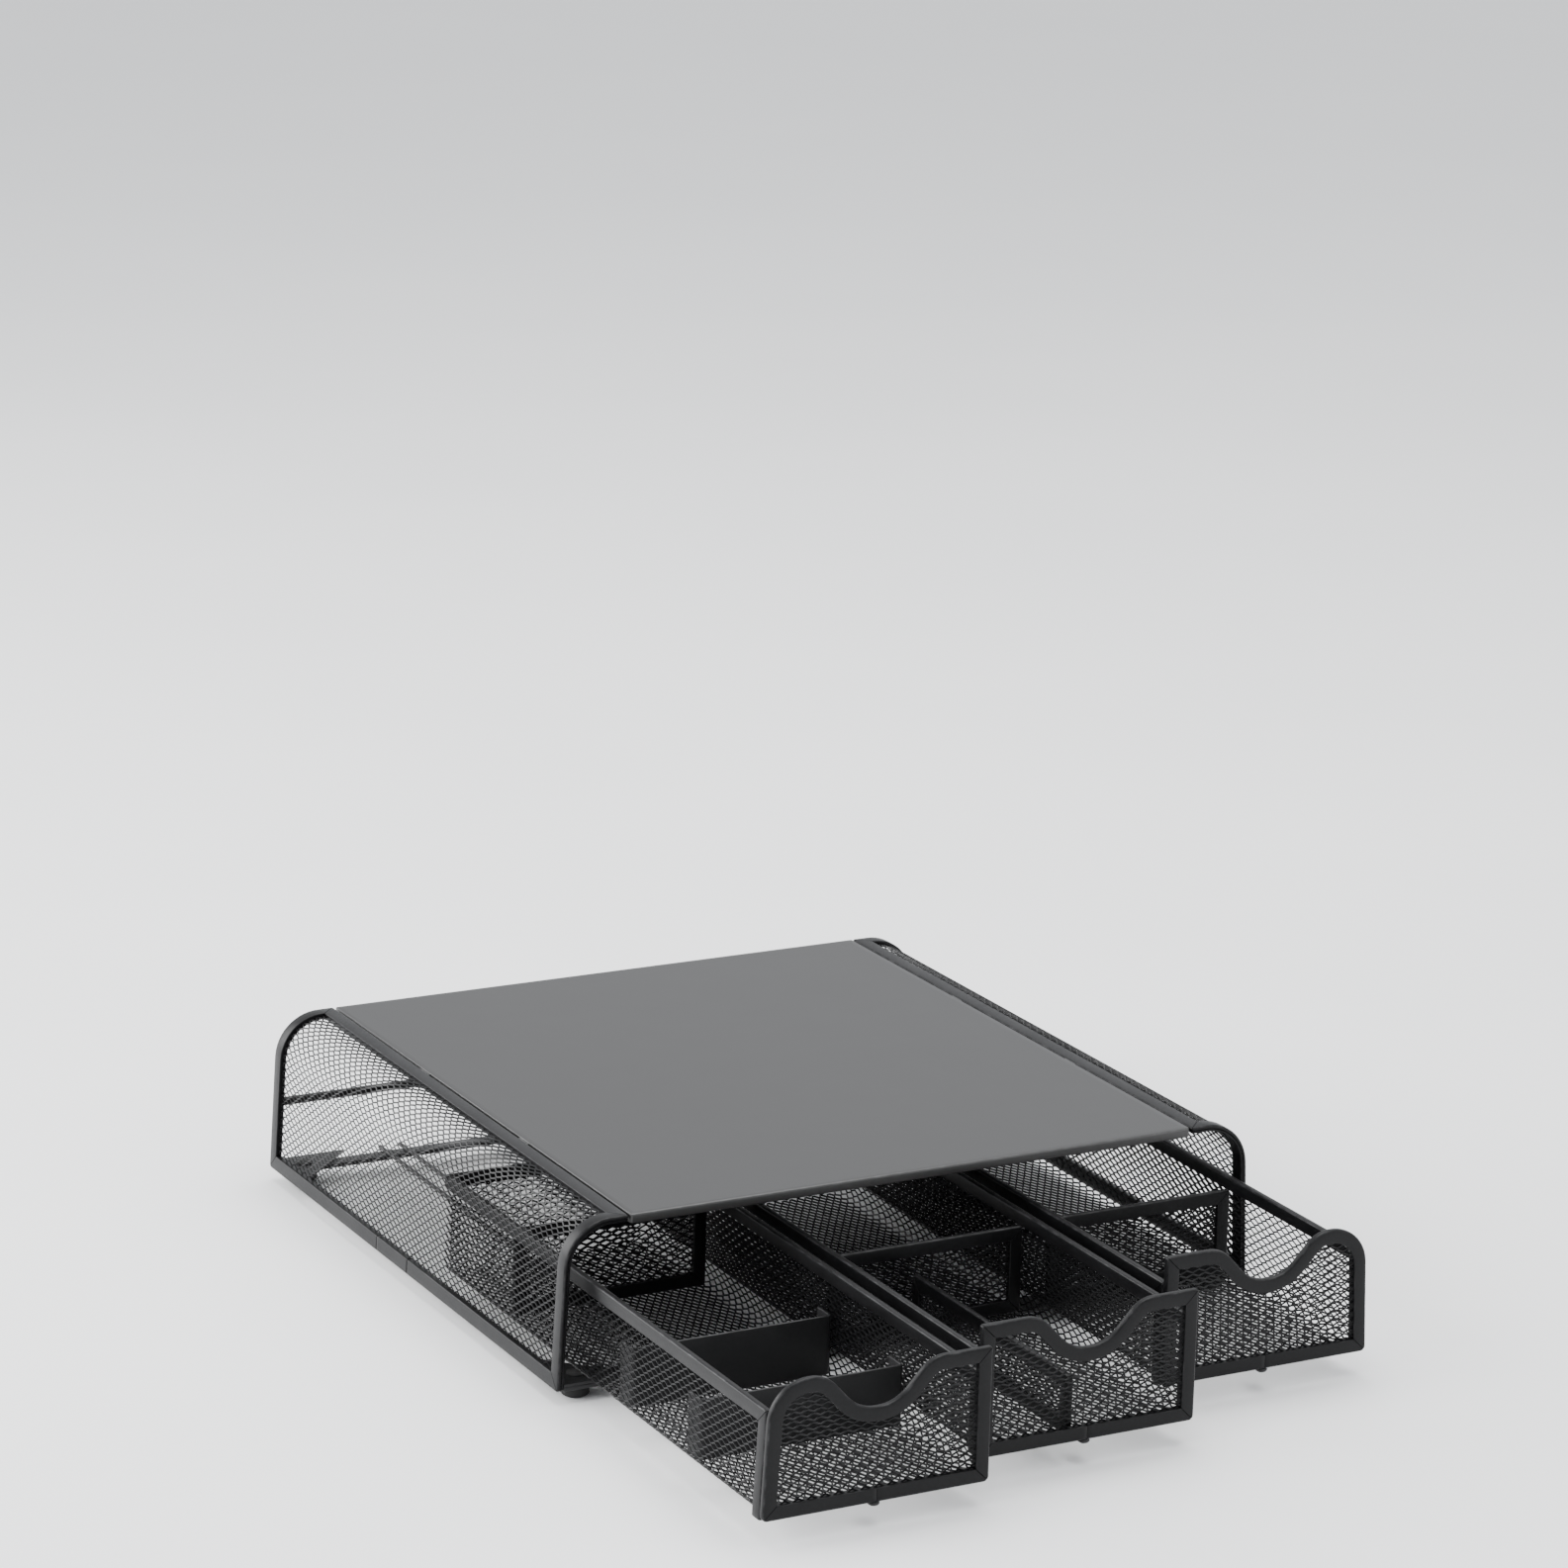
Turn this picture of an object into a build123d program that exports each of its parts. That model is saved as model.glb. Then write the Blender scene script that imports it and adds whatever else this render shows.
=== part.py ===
"""Monitor riser stand: a mesh-sided housing on rubber feet that holds three sliding mesh drawers.

Millimetres, +Z up, +X to the right and +Y to the back as seen from the front. The origin is on
the surface that the feet stand on, in the middle of the footprint that the housing and its
pulled-out drawers cover together.
"""
import os

from build123d import *

# Housing
WIDTH = 335.0           # over the base rails
DEPTH = 308.0
HEIGHT = 73.0           # from the base rails' underside to the top of the plate
SIDE_LEAN = 3.6         # how far each side leans in between base and top
CORNER_R = 21.0         # rounding where a side turns over into the top

# Folded edge strips and the expanded metal that they hold
STRIP_W = 7.0           # width of a housing strip
STRIP_T = 3.0           # thickness over both legs of the fold
FOLD_T = 1.5            # solid metal at the closed edge of a fold
MESH_T = 1.2
SEAM_W = 0.4            # butt joint that shows as a fine line
SEAM_DEPTH = 0.35
RAIL_SPLICE_Y = 152.0   # first of the two joints in a base rail, from its front end
RAIL_SPLICE_L = 33.0

# Top plate, a shallow pan turned down at its edges
PLATE_T = 1.6
PLATE_LIP = 4.0
PLATE_GROOVE = 0.9      # slit between the plate and the strip beside it
PLATE_EDGE_R = 0.7
TAB_L = 9.0
TAB_STEP_DOWN = 0.3
TABS_PER_SIDE = 2

# Base: flat cross bars, guide wires, corner gussets and feet
BAR_W = 14.0
REAR_BAR_W = 8.0        # the rear bar is narrower, and centred on the feet
BAR_T = 2.0
WIRE_D = 2.0
WIRE_SINK = 0.3         # depth of the wires' seats in the cross bars
WIRE_END_INSET = 2.0
STOP_BAR_D = 4.0
STOP_BAR_Z = 32.0
STOP_BAR_INSET = 3.5
GUSSET_LEG = 34.0
GUSSET_T = 1.2
FOOT_H = 6.0
FOOT_R = 6.0
FOOT_STEM_R = 2.4
FOOT_HOLE_CLEARANCE = 0.2
FOOT_HEAD_R = 4.0
FOOT_HEAD_T = 0.7
FOOT_INSET_X = 13.0
FOOT_INSET_Y = 10.0
FOOT_EDGE_R = 1.0

# Drawers
DRAWER_COUNT = 3
SIDE_GAP = 9.2          # housing's outside to an outer drawer, at the base
DRAWER_GAP = 7.3
DRAWER_LIFT = 4.4       # base rails' underside to the drawers' underside
FRONT_H = 56.6
WALL_H = 45.0
FRONT_STRIP_W = 6.0
RIM_W = 6.0
CORNER_LEG_L = 5.0      # leg of the front strip that folds back over the end of each side wall
FRONT_CORNER_R = 17.5   # outer top corner of the two outer drawers
NOTCH_HALF_TOP = 23.5
NOTCH_HALF_LOW = 8.0
NOTCH_DEPTH = 16.8
NOTCH_SHOULDER_R = 14.0
NOTCH_FLOOR_R = 17.0
TRAVEL = 210.0          # from shut to the stop
STOP_GAP = 0.6
GLIDE_W = 7.2
GLIDE_L = 12.0
GLIDE_CLEARANCE = 0.4
GLIDE_R = 1.5
PULLS = {"left_drawer": 164.0, "middle_drawer": 143.0, "right_drawer": 107.0}

# Dividers, each placed by its distance behind the drawer's front face
PLAIN_DIVIDER_T = 1.2
PLAIN_DIVIDER_H = 26.0
PLAIN_FLANGE_L = 11.0
PLAIN_DIVIDERS_Y = (63.0, 124.0)
DIVIDER_SIDE_GAP = 0.8
FRAMED_T = 2.6
FRAMED_STRIP_W = 6.0
FRAMED_H = 39.0
LOW_FRAMED_H = 26.0
LEFT_FRAMED_Y = 238.0
MIDDLE_FRAMED_Y = 133.0
RIGHT_FRAMED_Y = 100.0
LENGTHWISE_SHARE = 0.45  # place of the middle drawer's lengthwise divider across its width

# Places that follow from the sizes above
FRONT_Y = (max(PULLS.values()) - DEPTH) / 2
BACK_Y = FRONT_Y + DEPTH
BASE_Z = FOOT_H
SLOPE = SIDE_LEAN / HEIGHT
MESH_INSET = (STRIP_T - MESH_T) / 2
STRIP_END_X = -WIDTH / 2 + SIDE_LEAN + CORNER_R + STRIP_W
PLATE_EDGE_X = STRIP_END_X + PLATE_GROOVE
WIRE_Z = BASE_Z + BAR_T + WIRE_D / 2 - WIRE_SINK
WIRE_SPACING = GLIDE_W + 2 * GLIDE_CLEARANCE + WIRE_D
DRAWER_W = (WIDTH - 2 * SIDE_GAP - (DRAWER_COUNT - 1) * DRAWER_GAP) / DRAWER_COUNT
DRAWER_L = DEPTH - STOP_BAR_INSET - STOP_BAR_D / 2 - STOP_GAP
DRAWER_Z = BASE_Z + DRAWER_LIFT
FRONT_GLIDE_H = DRAWER_LIFT - BAR_T - GLIDE_CLEARANCE
REAR_GLIDE_H = DRAWER_LIFT - 2 * GLIDE_CLEARANCE
REAR_GLIDE_Y = TRAVEL + STOP_GAP + BAR_W + GLIDE_L / 2

os.makedirs("parts", exist_ok=True)


def save(piece, label):
    """Label a finished piece and write it to its own file."""
    piece.part.label = label
    export_step(piece.part, f"parts/{label}.step")


# ---------------------------------------------------------------- housing sections


def section(y):
    """Plane across the housing at y: its x runs to the right, its y up from the base rails."""
    return Plane(origin=(0, y, BASE_Z), x_dir=(1, 0, 0), z_dir=(0, -1, 0))


def housing_face(inset):
    """The housing's section moved in by inset: leaning sides, rounded top corners, open below."""
    drop = 2 * STRIP_W
    half_low = WIDTH / 2 + SLOPE * drop
    half_top = WIDTH / 2 - SIDE_LEAN
    with BuildSketch() as face:
        with BuildLine():
            Polyline((-half_low, -drop), (-half_top, HEIGHT), (half_top, HEIGHT), (half_low, -drop), close=True)
        make_face()
        fillet(face.vertices().group_by(Axis.Y)[-1], CORNER_R)
        if inset > 0:
            offset(amount=-inset, kind=Kind.INTERSECTION)
    return face.sketch


def left_band(outer, inner, low, end_x, high=HEIGHT):
    """The left side's wall between two insets, from height low round to end_x on the top."""
    with BuildSketch() as band:
        add(housing_face(outer))
        add(housing_face(inner), mode=Mode.SUBTRACT)
        with Locations((end_x, low)):
            Rectangle(WIDTH, high - low, align=(Align.MAX, Align.MIN), mode=Mode.INTERSECT)
    return band.sketch


def inside_strip(low, high):
    """The housing's inside width between two heights."""
    with BuildSketch() as strip:
        add(housing_face(STRIP_T))
        with Locations((0, low)):
            Rectangle(2 * WIDTH, high - low, align=(Align.CENTER, Align.MIN), mode=Mode.INTERSECT)
    return strip.sketch


# ---------------------------------------------------------------- housing sides


def left_side():
    """The left side's mesh and its four strips, with mitred corners, by name."""
    with BuildPart() as side_mesh:
        with BuildSketch(section(BACK_Y - FOLD_T)):
            add(left_band(MESH_INSET, MESH_INSET + MESH_T, FOLD_T, STRIP_END_X - FOLD_T))
        extrude(amount=DEPTH - 2 * FOLD_T)

    with BuildPart() as base_rail:
        with BuildSketch(section(BACK_Y)):
            add(left_band(0, STRIP_T, 0, STRIP_END_X, high=STRIP_W))
        extrude(amount=DEPTH)
        with BuildSketch(Plane.YZ.offset(-WIDTH)):
            with BuildLine():
                Polyline(
                    (FRONT_Y, BASE_Z),
                    (FRONT_Y + STRIP_W, BASE_Z + STRIP_W),
                    (BACK_Y - STRIP_W, BASE_Z + STRIP_W),
                    (BACK_Y, BASE_Z),
                    close=True,
                )
            make_face()
        extrude(amount=WIDTH, mode=Mode.INTERSECT)
        add(side_mesh.part, mode=Mode.SUBTRACT)
        for y in (RAIL_SPLICE_Y, RAIL_SPLICE_Y + RAIL_SPLICE_L):
            with BuildSketch(section(FRONT_Y + y + SEAM_W)):
                add(left_band(0, SEAM_DEPTH, 0, STRIP_END_X, high=STRIP_W))
            extrude(amount=SEAM_W, mode=Mode.SUBTRACT)

    with BuildPart() as top_strip:
        with BuildSketch(Plane.XY.offset(BASE_Z + HEIGHT - STRIP_T)):
            with BuildLine():
                Polyline(
                    (STRIP_END_X, FRONT_Y),
                    (STRIP_END_X, BACK_Y),
                    (STRIP_END_X - STRIP_W, BACK_Y - STRIP_W),
                    (STRIP_END_X - STRIP_W, FRONT_Y + STRIP_W),
                    close=True,
                )
            make_face()
        extrude(amount=STRIP_T)
        add(side_mesh.part, mode=Mode.SUBTRACT)

    pieces = {"side_mesh": side_mesh, "base_rail": base_rail, "top_strip": top_strip}
    for end, y_back in (("front", FRONT_Y + STRIP_W), ("rear", BACK_Y)):
        with BuildPart() as post:
            with BuildSketch(section(y_back)):
                add(left_band(0, STRIP_T, 0, STRIP_END_X))
            extrude(amount=STRIP_W)
            for neighbour in (side_mesh, base_rail, top_strip):
                add(neighbour.part, mode=Mode.SUBTRACT)
        pieces[f"{end}_strip"] = post
    return pieces


def build_sides():
    """Both sides: the right one is the left one mirrored."""
    for name, piece in left_side().items():
        save(piece, f"left_{name}")
        with BuildPart() as twin:
            mirror(piece.part, about=Plane.YZ)
        save(twin, f"right_{name}")


# ---------------------------------------------------------------- housing top and base


def build_top_plate():
    """The plate, turned down all round, with small tabs that bridge the slit to the strips."""
    middle_y = (FRONT_Y + BACK_Y) / 2
    pan_top = BASE_Z + HEIGHT
    width = -2 * PLATE_EDGE_X
    tab_pitch = DEPTH / (TABS_PER_SIDE + 1)
    with BuildPart() as top_plate:
        with BuildSketch(Plane.XY.offset(pan_top - PLATE_LIP)):
            with Locations((0, middle_y)):
                Rectangle(width, DEPTH)
        extrude(amount=PLATE_LIP)
        fillet(top_plate.faces().sort_by(Axis.Z)[-1].edges(), PLATE_EDGE_R)
        with BuildSketch(Plane.XY.offset(pan_top - PLATE_LIP)):
            with Locations((0, middle_y)):
                Rectangle(width - 2 * PLATE_T, DEPTH - 2 * PLATE_T)
        extrude(amount=PLATE_LIP - PLATE_T, mode=Mode.SUBTRACT)
        with BuildSketch(Plane.XY.offset(pan_top - TAB_STEP_DOWN)):
            with Locations((0, middle_y)):
                with GridLocations(-STRIP_END_X - PLATE_EDGE_X, tab_pitch, 2, TABS_PER_SIDE):
                    Rectangle(PLATE_GROOVE, TAB_L)
        extrude(amount=-PLATE_T)
    save(top_plate, "top_plate")


def guide_places():
    """The middle of each drawer across the housing, where its pair of guide wires lies."""
    return [(i - (DRAWER_COUNT - 1) / 2) * (DRAWER_W + DRAWER_GAP) for i in range(DRAWER_COUNT)]


def foot_places():
    """The four foot centres."""
    half_x = WIDTH / 2 - FOOT_INSET_X
    return [(sx * half_x, y) for sx in (-1, 1) for y in (FRONT_Y + FOOT_INSET_Y, BACK_Y - FOOT_INSET_Y)]


def build_base():
    """Cross bars, guide wires, the rear stop bar, the corner gussets and the feet."""
    wires = []
    for drawer, x in zip(PULLS, guide_places()):
        with BuildPart() as pair:
            with BuildSketch(Plane.XZ.offset(WIRE_END_INSET - BACK_Y)):
                with Locations((x - WIRE_SPACING / 2, WIRE_Z), (x + WIRE_SPACING / 2, WIRE_Z)):
                    Circle(WIRE_D / 2)
            extrude(amount=DEPTH - 2 * WIRE_END_INSET)
        save(pair, f"{drawer}_guide_wires")
        wires.append(pair)

    rear_bar_back = BACK_Y - FOOT_INSET_Y + REAR_BAR_W / 2
    for name, y_back, width in (
        ("front_base_bar", FRONT_Y + BAR_W, BAR_W),
        ("rear_base_bar", rear_bar_back, REAR_BAR_W),
    ):
        with BuildPart() as bar:
            with BuildSketch(section(y_back)):
                add(inside_strip(0, BAR_T))
            extrude(amount=width)
            with BuildSketch(Plane.XY.offset(BASE_Z)):
                with Locations(*foot_places()):
                    Circle(FOOT_STEM_R + FOOT_HOLE_CLEARANCE)
            extrude(amount=BAR_T, mode=Mode.SUBTRACT)
            for pair in wires:
                add(pair.part, mode=Mode.SUBTRACT)
        save(bar, name)

    with BuildPart() as rear_stop_bar:
        with BuildSketch(Plane.YZ.offset(-WIDTH / 2)):
            with Locations((BACK_Y - STOP_BAR_INSET, BASE_Z + STOP_BAR_Z)):
                Circle(STOP_BAR_D / 2)
        extrude(amount=WIDTH)
        with BuildSketch(section(BACK_Y)):
            add(inside_strip(0, HEIGHT / 2 + STOP_BAR_Z / 2))
        extrude(amount=STRIP_W, mode=Mode.INTERSECT)
    save(rear_stop_bar, "rear_stop_bar")

    with BuildPart() as corner_gussets:
        with BuildSketch(Plane.XY.offset(BASE_Z + BAR_T)):
            for side in (-1, 1):
                for corner_y, inward in ((FRONT_Y, 1), (BACK_Y, -1)):
                    corner_x = side * WIDTH / 2
                    reach = GUSSET_LEG + STRIP_T
                    with BuildLine():
                        Polyline(
                            (corner_x, corner_y),
                            (corner_x - side * reach, corner_y),
                            (corner_x, corner_y + inward * reach),
                            close=True,
                        )
                    make_face()
            with Locations(*foot_places()):
                Circle(FOOT_STEM_R + FOOT_HOLE_CLEARANCE, mode=Mode.SUBTRACT)
        extrude(amount=GUSSET_T)
        with BuildSketch(section(BACK_Y)):
            add(inside_strip(0, HEIGHT / 2))
        extrude(amount=DEPTH, mode=Mode.INTERSECT)
    save(corner_gussets, "corner_gussets")

    head_z = BASE_Z + BAR_T + GUSSET_T
    with BuildPart() as rubber_feet:
        with BuildSketch():
            with Locations(*foot_places()):
                Circle(FOOT_R)
        extrude(amount=FOOT_H)
        fillet(rubber_feet.edges().group_by(Axis.Z)[0], FOOT_EDGE_R)
        with BuildSketch(Plane.XY.offset(BASE_Z)):
            with Locations(*foot_places()):
                Circle(FOOT_STEM_R)
        extrude(amount=BAR_T + GUSSET_T)
        with BuildSketch(Plane.XY.offset(head_z)):
            with Locations(*foot_places()):
                Circle(FOOT_HEAD_R)
        extrude(amount=FOOT_HEAD_T)
    save(rubber_feet, "rubber_feet")


# ---------------------------------------------------------------- drawers


class Drawer:
    """Where one drawer stands, and which of its sides lean with the housing."""

    def __init__(self, name, index):
        self.name = name
        self.x = -WIDTH / 2 + SIDE_GAP + index * (DRAWER_W + DRAWER_GAP)
        self.front_y = FRONT_Y - PULLS[name]
        self.back_y = self.front_y + DRAWER_L
        self.left_slope = SLOPE if index == 0 else 0.0
        self.right_slope = SLOPE if index == DRAWER_COUNT - 1 else 0.0

    def plane(self, y):
        """Plane across the drawer, y behind its front face, with its corner at the lower left."""
        return Plane(origin=(self.x, self.front_y + y, DRAWER_Z), x_dir=(1, 0, 0), z_dir=(0, -1, 0))

    def left(self, inset, z):
        """Place of the left side at height z, moved in by inset."""
        return inset + self.left_slope * z

    def right(self, inset, z):
        """Place of the right side at height z, moved in by inset."""
        return DRAWER_W - inset - self.right_slope * z

    def across(self, inset, low, high):
        """Face between both sides, moved in by inset, from height low to high."""
        corners = (
            (self.left(inset, low), low),
            (self.right(inset, low), low),
            (self.right(inset, high), high),
            (self.left(inset, high), high),
        )
        with BuildSketch() as face:
            with BuildLine():
                Polyline(*corners, close=True)
            make_face()
        return face.sketch

    def along(self, side, outer, inner, low, high):
        """Section of the wall on one side between two insets, from height low to high."""
        corners = (
            (side(outer, low), low),
            (side(inner, low), low),
            (side(inner, high), high),
            (side(outer, high), high),
        )
        with BuildSketch() as face:
            with BuildLine():
                Polyline(*corners, close=True)
            make_face()
        return face.sketch

    def front_face(self, inset):
        """Outline of the front moved in by inset: finger notch, and a rounded outer corner."""
        middle = DRAWER_W / 2
        notch_z = FRONT_H - NOTCH_DEPTH
        with BuildSketch() as face:
            with BuildLine():
                Polyline(
                    (0, 0),
                    (DRAWER_W, 0),
                    (self.right(0, FRONT_H), FRONT_H),
                    (middle + NOTCH_HALF_TOP, FRONT_H),
                    (middle + NOTCH_HALF_LOW, notch_z),
                    (middle - NOTCH_HALF_LOW, notch_z),
                    (middle - NOTCH_HALF_TOP, FRONT_H),
                    (self.left(0, FRONT_H), FRONT_H),
                    close=True,
                )
            make_face()
            fillet(face.vertices().group_by(Axis.Y)[1], NOTCH_FLOOR_R)
            fillet(face.vertices().group_by(Axis.Y)[-1].sort_by(Axis.X)[1:3], NOTCH_SHOULDER_R)
            if self.left_slope > 0:
                fillet(face.vertices().group_by(Axis.Y)[-1].sort_by(Axis.X)[0], FRONT_CORNER_R)
            if self.right_slope > 0:
                fillet(face.vertices().group_by(Axis.Y)[-1].sort_by(Axis.X)[-1], FRONT_CORNER_R)
            if inset > 0:
                offset(amount=-inset, kind=Kind.INTERSECTION)
        return face.sketch


def build_front(drawer, panels):
    """The front's mesh and its folded strip: legs over the side walls' ends, a seam below."""
    with BuildPart() as front_mesh:
        with BuildSketch(drawer.plane(MESH_INSET + MESH_T)):
            add(drawer.front_face(FOLD_T))
        extrude(amount=MESH_T)
    save(front_mesh, f"{drawer.name}_front_mesh")

    with BuildPart() as front_strip:
        with BuildSketch(drawer.plane(STRIP_T)):
            add(drawer.front_face(0))
            add(drawer.front_face(FRONT_STRIP_W), mode=Mode.SUBTRACT)
        extrude(amount=STRIP_T)
        with BuildSketch(drawer.plane(STRIP_T + CORNER_LEG_L)):
            for side in (drawer.left, drawer.right):
                add(drawer.along(side, 0, STRIP_T, 0, WALL_H))
        extrude(amount=CORNER_LEG_L)
        for sheet in (front_mesh, *panels):
            add(sheet.part, mode=Mode.SUBTRACT)
        with BuildSketch(drawer.plane(SEAM_DEPTH)):
            with Locations((DRAWER_W / 2, 0)):
                Rectangle(SEAM_W, FRONT_STRIP_W, align=(Align.CENTER, Align.MIN))
        extrude(amount=SEAM_DEPTH, mode=Mode.SUBTRACT)
    save(front_strip, f"{drawer.name}_front_strip")


def build_basket(drawer):
    """Mesh floor, side walls and rear wall, with folded rims; the four mesh panels are returned."""
    rear_in = DRAWER_L - MESH_INSET - MESH_T
    with BuildPart() as floor:
        with BuildSketch(drawer.plane(rear_in)):
            add(drawer.across(MESH_INSET + MESH_T, 0, MESH_T))
        extrude(amount=rear_in - STRIP_T)
    save(floor, f"{drawer.name}_floor")

    walls = []
    for name, side in (("left", drawer.left), ("right", drawer.right)):
        with BuildPart() as wall:
            with BuildSketch(drawer.plane(rear_in)):
                add(drawer.along(side, MESH_INSET, MESH_INSET + MESH_T, 0, WALL_H - FOLD_T))
            extrude(amount=rear_in - STRIP_T)
        save(wall, f"{drawer.name}_{name}_wall")
        walls.append(wall)

        with BuildPart() as rim:
            with BuildSketch(drawer.plane(DRAWER_L - STRIP_T)):
                add(drawer.along(side, 0, STRIP_T, WALL_H - RIM_W, WALL_H))
            extrude(amount=DRAWER_L - 2 * STRIP_T - CORNER_LEG_L)
            add(wall.part, mode=Mode.SUBTRACT)
        save(rim, f"{drawer.name}_{name}_rim")

    with BuildPart() as rear_wall:
        with BuildSketch(drawer.plane(rear_in + MESH_T)):
            add(drawer.across(MESH_INSET, 0, WALL_H - FOLD_T))
        extrude(amount=MESH_T)
    save(rear_wall, f"{drawer.name}_rear_wall")
    walls.append(rear_wall)

    with BuildPart() as rear_rim:
        with BuildSketch(drawer.plane(DRAWER_L)):
            add(drawer.across(0, WALL_H - RIM_W, WALL_H))
        extrude(amount=STRIP_T)
        for wall in walls:
            add(wall.part, mode=Mode.SUBTRACT)
    save(rear_rim, f"{drawer.name}_rear_rim")
    return [floor, *walls]


def build_glides(drawer):
    """Front glide, and a deeper rear one that meets the front base bar when the drawer is out."""
    middle_x = drawer.x + DRAWER_W / 2
    with BuildPart() as glides:
        with BuildSketch(Plane.XY.offset(DRAWER_Z)):
            with Locations((middle_x, drawer.front_y + SEAM_DEPTH + GLIDE_L / 2)):
                SlotOverall(GLIDE_L, GLIDE_W, rotation=90)
        extrude(amount=-FRONT_GLIDE_H)
        with BuildSketch(Plane.XY.offset(DRAWER_Z)):
            with Locations((middle_x, drawer.front_y + REAR_GLIDE_Y)):
                RectangleRounded(GLIDE_W, GLIDE_L, GLIDE_R)
        extrude(amount=-REAR_GLIDE_H)
    save(glides, f"{drawer.name}_glides")


def build_plain_divider(drawer, y, label):
    """A plain sheet across the drawer, its ends bent to the back."""
    left_end = drawer.left(STRIP_T + DIVIDER_SIDE_GAP, PLAIN_DIVIDER_H)
    right_end = drawer.right(STRIP_T + DIVIDER_SIDE_GAP, PLAIN_DIVIDER_H)
    width = right_end - left_end
    with BuildPart() as divider:
        with BuildSketch(Plane.XY.offset(DRAWER_Z + MESH_T)):
            with Locations((drawer.x + left_end, drawer.front_y + y)):
                Rectangle(width, PLAIN_FLANGE_L, align=(Align.MIN, Align.MIN))
            with Locations((drawer.x + left_end + PLAIN_DIVIDER_T, drawer.front_y + y + PLAIN_DIVIDER_T)):
                inner = width - 2 * PLAIN_DIVIDER_T
                Rectangle(inner, PLAIN_FLANGE_L, align=(Align.MIN, Align.MIN), mode=Mode.SUBTRACT)
        extrude(amount=PLAIN_DIVIDER_H)
    save(divider, label)


def build_framed_divider(plane, width, height, label):
    """Mesh in a folded strip frame; the plane is the divider's front face, from its lower left."""
    with BuildPart() as panel:
        with BuildSketch(plane.offset(-(FRAMED_T + MESH_T) / 2)):
            with Locations((FOLD_T, FOLD_T)):
                Rectangle(width - 2 * FOLD_T, height - 2 * FOLD_T, align=(Align.MIN, Align.MIN))
        extrude(amount=MESH_T)
    with BuildPart() as divider:
        with BuildSketch(plane.offset(-FRAMED_T)):
            Rectangle(width, height, align=(Align.MIN, Align.MIN))
            with Locations((FRAMED_STRIP_W, FRAMED_STRIP_W)):
                inner_w = width - 2 * FRAMED_STRIP_W
                inner_h = height - 2 * FRAMED_STRIP_W
                Rectangle(inner_w, inner_h, align=(Align.MIN, Align.MIN), mode=Mode.SUBTRACT)
        extrude(amount=FRAMED_T)
        add(panel.part, mode=Mode.SUBTRACT)
    save(divider, f"{label}_frame")
    save(panel, f"{label}_mesh")


def build_cross_divider(drawer, y, height, label):
    """A framed mesh divider across the drawer."""
    left_end = drawer.left(STRIP_T + DIVIDER_SIDE_GAP, height)
    right_end = drawer.right(STRIP_T + DIVIDER_SIDE_GAP, height)
    origin = (drawer.x + left_end, drawer.front_y + y, DRAWER_Z + MESH_T)
    plane = Plane(origin=origin, x_dir=(1, 0, 0), z_dir=(0, -1, 0))
    build_framed_divider(plane, right_end - left_end, height, label)


def build_lengthwise_divider(drawer, length, height, label):
    """A framed mesh divider along the drawer, from its front back to the cross divider."""
    origin = (
        drawer.x + DRAWER_W * LENGTHWISE_SHARE,
        drawer.front_y + STRIP_T + DIVIDER_SIDE_GAP,
        DRAWER_Z + MESH_T,
    )
    plane = Plane(origin=origin, x_dir=(0, 1, 0), z_dir=(1, 0, 0))
    build_framed_divider(plane, length, height, label)


def build_drawers():
    """The three drawers, each where it stands pulled out, and their dividers."""
    drawers = {name: Drawer(name, index) for index, name in enumerate(PULLS)}
    for drawer in drawers.values():
        build_front(drawer, build_basket(drawer))
        build_glides(drawer)

    left = drawers["left_drawer"]
    for number, y in enumerate(PLAIN_DIVIDERS_Y, start=1):
        build_plain_divider(left, y, f"left_drawer_plain_divider_{number}")
    build_cross_divider(left, LEFT_FRAMED_Y, FRAMED_H, "left_drawer_divider")

    middle = drawers["middle_drawer"]
    lengthwise = MIDDLE_FRAMED_Y - STRIP_T - 2 * DIVIDER_SIDE_GAP
    build_cross_divider(middle, MIDDLE_FRAMED_Y, FRAMED_H, "middle_drawer_divider")
    build_lengthwise_divider(middle, lengthwise, LOW_FRAMED_H, "middle_drawer_long_divider")

    build_cross_divider(drawers["right_drawer"], RIGHT_FRAMED_Y, FRAMED_H, "right_drawer_divider")


build_sides()
build_top_plate()
build_base()
build_drawers()
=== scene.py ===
"""A monitor riser stand in black powder coat: a mesh-sided housing with three mesh drawers.

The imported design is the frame. Every folded strip, expanded-metal panel and divider is a surface
worked out here in the frame's own places, in metres, and rides on the body it belongs to.
"""

import logging
import math
from dataclasses import dataclass, field, fields
from enum import Enum

import bpy
import numpy as np
from mathutils import Matrix, Vector


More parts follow.
